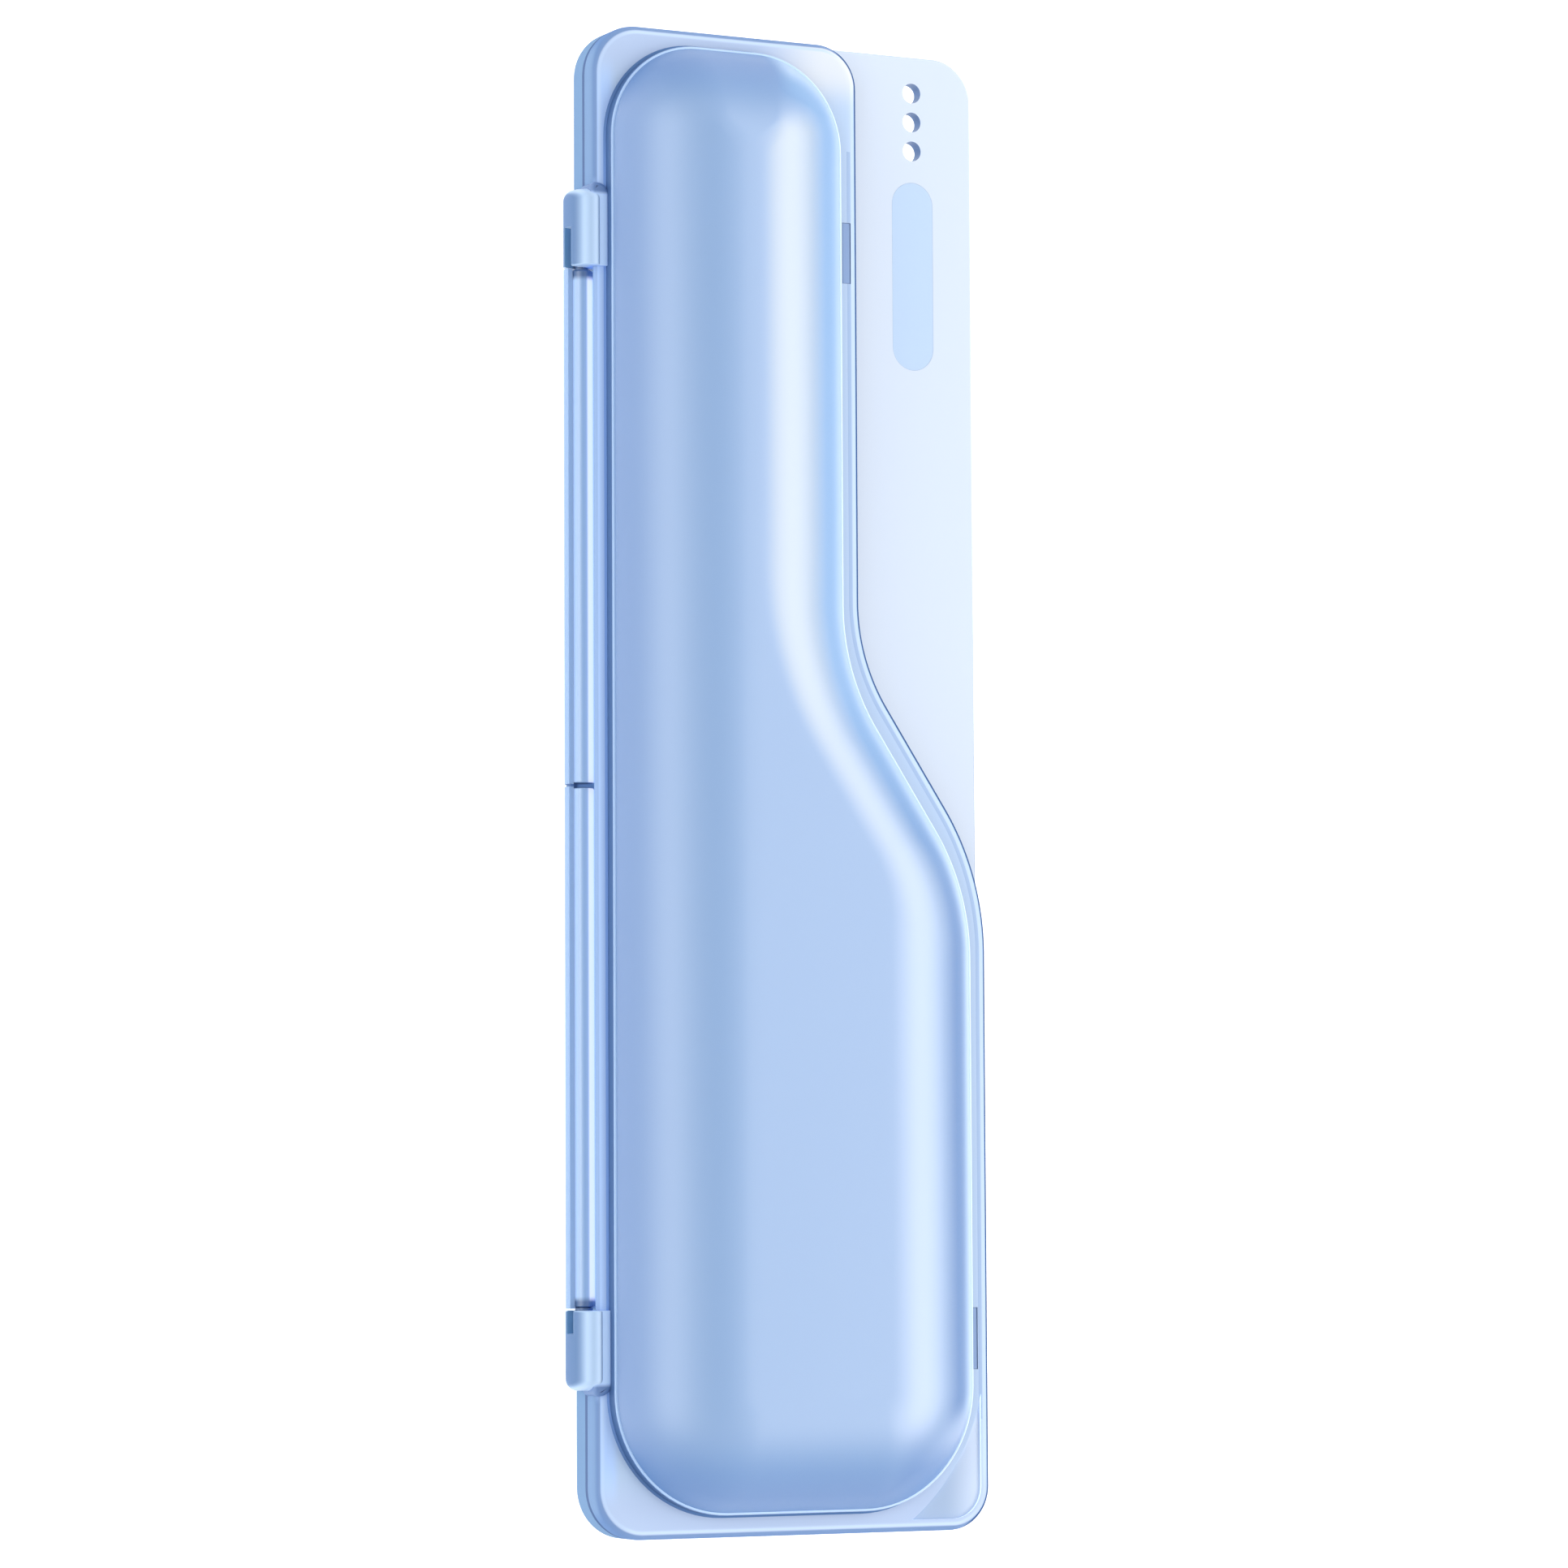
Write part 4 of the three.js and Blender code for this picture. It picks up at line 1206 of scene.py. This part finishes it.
# Lid flange: painted highlight lines and painted shade on its rounds, a painted dark rim on the open side and
# painted tones on its end and hinge strips.
flange_blue = edged_plastic(
    "flange_blue",
    colour=linear(175, 199, 229),
    end_colour=linear(168, 188, 220),
    hinge_colour=linear(170, 200, 245),
    shade_colour=linear(108, 138, 184),
    edge=linear(184, 206, 236),
    wall=linear(124, 152, 190),
    open_shade_colour=linear(56, 86, 136),
    rim_shade_colour=linear(30, 62, 122),
    corner_colour=linear(206, 214, 224),
)
# Step wall at the dome's foot: its dark colour is painted shade.
step_blue = moulded_plastic("step_blue", linear(68, 102, 150), linear(58, 92, 140), 0.5, 0.0)
# Land on top of the step: painted lighter, with a painted highlight glow where it faces the open side.
rim_blue = moulded_plastic("rim_blue", linear(168, 202, 244), linear(82, 122, 178))
painted_glow(rim_blue, rim_blue.eased(rim_blue.facing(0), 0.15, 0.5), linear(208, 200, 190), 0.7)
# Flange round the dome's foot: painted contact shadow round the ends.
foot_blue = foot_plastic("foot_blue", linear(202, 218, 238), linear(96, 130, 180), linear(136, 174, 236))
# Ring near the open edge: its darker colour is a painted shade line.
line_blue = moulded_plastic("line_blue", linear(144, 174, 214), linear(136, 166, 206), 0.5, 0.2)
relief_blue = relief_plastic("relief_blue", linear(122, 153, 192), linear(178, 198, 226))
# Wall round the finger relief: painted light, with a painted glow on its slope.
relief_edge_blue = moulded_plastic("relief_edge_blue", linear(220, 230, 242), linear(205, 222, 242), 0.5, 0.2)
relief_slope = relief_edge_blue.eased(relief_edge_blue.levelness(), 0.8, 0.3)
painted_glow(relief_edge_blue, relief_slope, linear(205, 216, 236), 0.7)
# Base rim: painted highlight lines and painted shade on its rounds.
base_blue = edged_plastic(
    "base_blue",
    colour=linear(146, 178, 216),
    end_colour=linear(150, 180, 214),
    hinge_colour=linear(150, 180, 214),
    shade_colour=linear(120, 150, 186),
    edge=linear(170, 196, 226),
    wall=linear(120, 150, 186),
    open_shade_colour=linear(90, 122, 166),
    rim_shade_colour=linear(90, 122, 166),
    corner_colour=linear(150, 180, 214),
)
plate_blue = plate_plastic("plate_blue", linear(158, 171, 193), linear(138, 156, 184), linear(90, 122, 166))
# Walls of the holes: darker, painted shade.
hole_blue = moulded_plastic("hole_blue", linear(90, 132, 180), linear(80, 120, 168), 0.5, 0.1)
tab_blue = moulded_plastic("tab_blue", linear(116, 150, 200), linear(100, 136, 190), 0.5, 0.2)
ear_blue = ear_plastic("ear_blue", linear(166, 196, 230), linear(78, 116, 164))
pad_blue = pad_plastic("pad_blue", linear(190, 220, 255), linear(84, 116, 160))
# Ear slots: darker, painted shade.
slot_blue = moulded_plastic("slot_blue", linear(118, 162, 202), linear(112, 152, 194), 0.6, 0.0)
# Channel lips: painted glow on their inner side.
lip_blue = moulded_plastic("lip_blue", linear(146, 176, 216), linear(138, 168, 208), 0.5, 0.1)
painted_glow(lip_blue, lip_blue.eased(lip_blue.place(0), HINGE_X, HINGE_X + 1.0), linear(128, 158, 200), 0.6)
bed_blue = bed_plastic("bed_blue", linear(140, 172, 216), linear(70, 98, 140))
rod_blue = rod_plastic("rod_blue", linear(138, 172, 214), linear(80, 108, 150))
label_blue = moulded_plastic("label_blue", linear(168, 194, 226), linear(146, 176, 216), 0.5, 0.1)
support_white = moulded_plastic("support_white", linear(196, 204, 216), linear(180, 192, 208), 0.6, 0.0)
lining_blue = moulded_plastic("lining_blue", linear(120, 150, 190), linear(108, 138, 178), 0.75, 0.0)
# Seam chamfers between lid and base: dark painted shadow of the gap, with a painted glow on the open side.
seam_blue = moulded_plastic("seam_blue", linear(72, 106, 156), linear(62, 96, 146), 0.5, 0.0)
painted_glow(seam_blue, seam_blue.eased(seam_blue.place(0), -4.0, 4.0), linear(108, 148, 204), 0.9)

LID_FINISHES = [
    shell_blue, flange_blue, step_blue, rim_blue, foot_blue,
    relief_blue, relief_edge_blue, bed_blue, seam_blue, line_blue,
]
BASE_FINISHES = [base_blue, plate_blue, seam_blue, tab_blue, bed_blue, lip_blue, hole_blue]
EAR_FINISHES = [ear_blue, slot_blue]
SUPPORT_FINISHES = [support_white, lining_blue]


def dress(piece, finishes, body, slot, *nodes):
    """Give a piece its finishes and body, and hide the solids that it stands for. The slot is not used."""
    faces = [face.material_index for face in piece.data.polygons]
    piece.data.materials.clear()
    for finish in finishes:
        piece.data.materials.append(finish.material)
    piece.data.polygons.foreach_set("material_index", faces)
    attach(piece, body)
    if nodes:
        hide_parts(*nodes)


dress(lid_skin(), LID_FINISHES, "lid", "shell_plastic", "lid_shell")
dress(base_skin(), BASE_FINISHES, "base", "shell_plastic", "base_shell")
for side_name, side_sign, side_slot in HINGE_SIDES:
    dress(hinge_ear(side_name, side_sign, side_slot), EAR_FINISHES, "lid", "shell_plastic")
    dress(ear_pad(side_name, side_sign), [pad_blue], "lid", "shell_plastic")
    dress(hinge_rod(side_name, side_sign), [rod_blue], "base", "rod_plastic", f"hinge_rod_{side_name}")
dress(label_plate(), [label_blue], "base", "label_plastic", "label_inlay")

for side_name, saddle_y in (("upper", UPPER_SADDLE_Y), ("lower", LOWER_SADDLE_Y)):
    cradle = handle_cradle(f"cradle_{side_name}", saddle_y)
    dress(cradle, SUPPORT_FINISHES, "base", "support_plastic", f"handle_cradle_{side_name}")
    roof_pad = lid_pad(f"roof_pad_{side_name}", saddle_y)
    dress(roof_pad, SUPPORT_FINISHES, "lid", "support_plastic", f"lid_pad_{side_name}")
dress(brush_head_holder(), SUPPORT_FINISHES, "base", "support_plastic", "brush_head_holder")


# Floor and light
FLOOR_REACH = 1500


def floor():
    reach = FLOOR_REACH
    points = [(-reach, -reach, 0.0), (reach, -reach, 0.0), (reach, reach, 0.0), (-reach, reach, 0.0)]
    piece = object_of("floor", points, [(0, 1, 2, 3)])
    finish = Finish("floor_white")
    finish.set(
        Base_Color=finish.mixed(finish.noise(3.0), (0.94, 0.945, 0.95, 1.0), (0.955, 0.957, 0.96, 1.0)),
        Roughness=0.9,
        Emission_Color=WHITE,
        Emission_Strength=0.45,
    )
    piece.data.materials.append(finish.material)


def light_dome():
    """White studio dome with a long soft box on either side and a dimmer band overhead."""
    world = bpy.data.worlds.new("studio")
    dome = Nodes(world)
    direction = dome.node("ShaderNodeTexCoord", output="Generated")
    tilt = dome.node(
        "ShaderNodeMath", {"operation": "ARCTAN2"}, {0: dome.part(direction, 0), 1: dome.part(direction, 2)}
    )
    above_middle = dome.eased(dome.size_of(dome.part(direction, 1)), 0.88, 0.22)

    def band(middle, reach):
        """Soft box along the case: its angle from overhead, positive on the open side, and its reach."""
        off = dome.size_of(tilt - math.radians(middle))
        return dome.eased(off, math.radians(reach), 0.0) * above_middle

    key = band(54, 30)
    sky = dome.nodes["Background"]
    strength = key * 5.0 + band(-59, 30) * 2.2 - band(-10, 26) * 0.6 - band(84, 24) * 0.5 + 0.85
    dome.feed(sky.inputs["Strength"], strength)
    dome.feed(sky.inputs["Color"], dome.mixed(key, WHITE, (1.0, 0.92, 0.84, 1.0)))
    bpy.context.scene.world = world
    bpy.context.scene.view_settings.view_transform = "Standard"


floor()
light_dome()
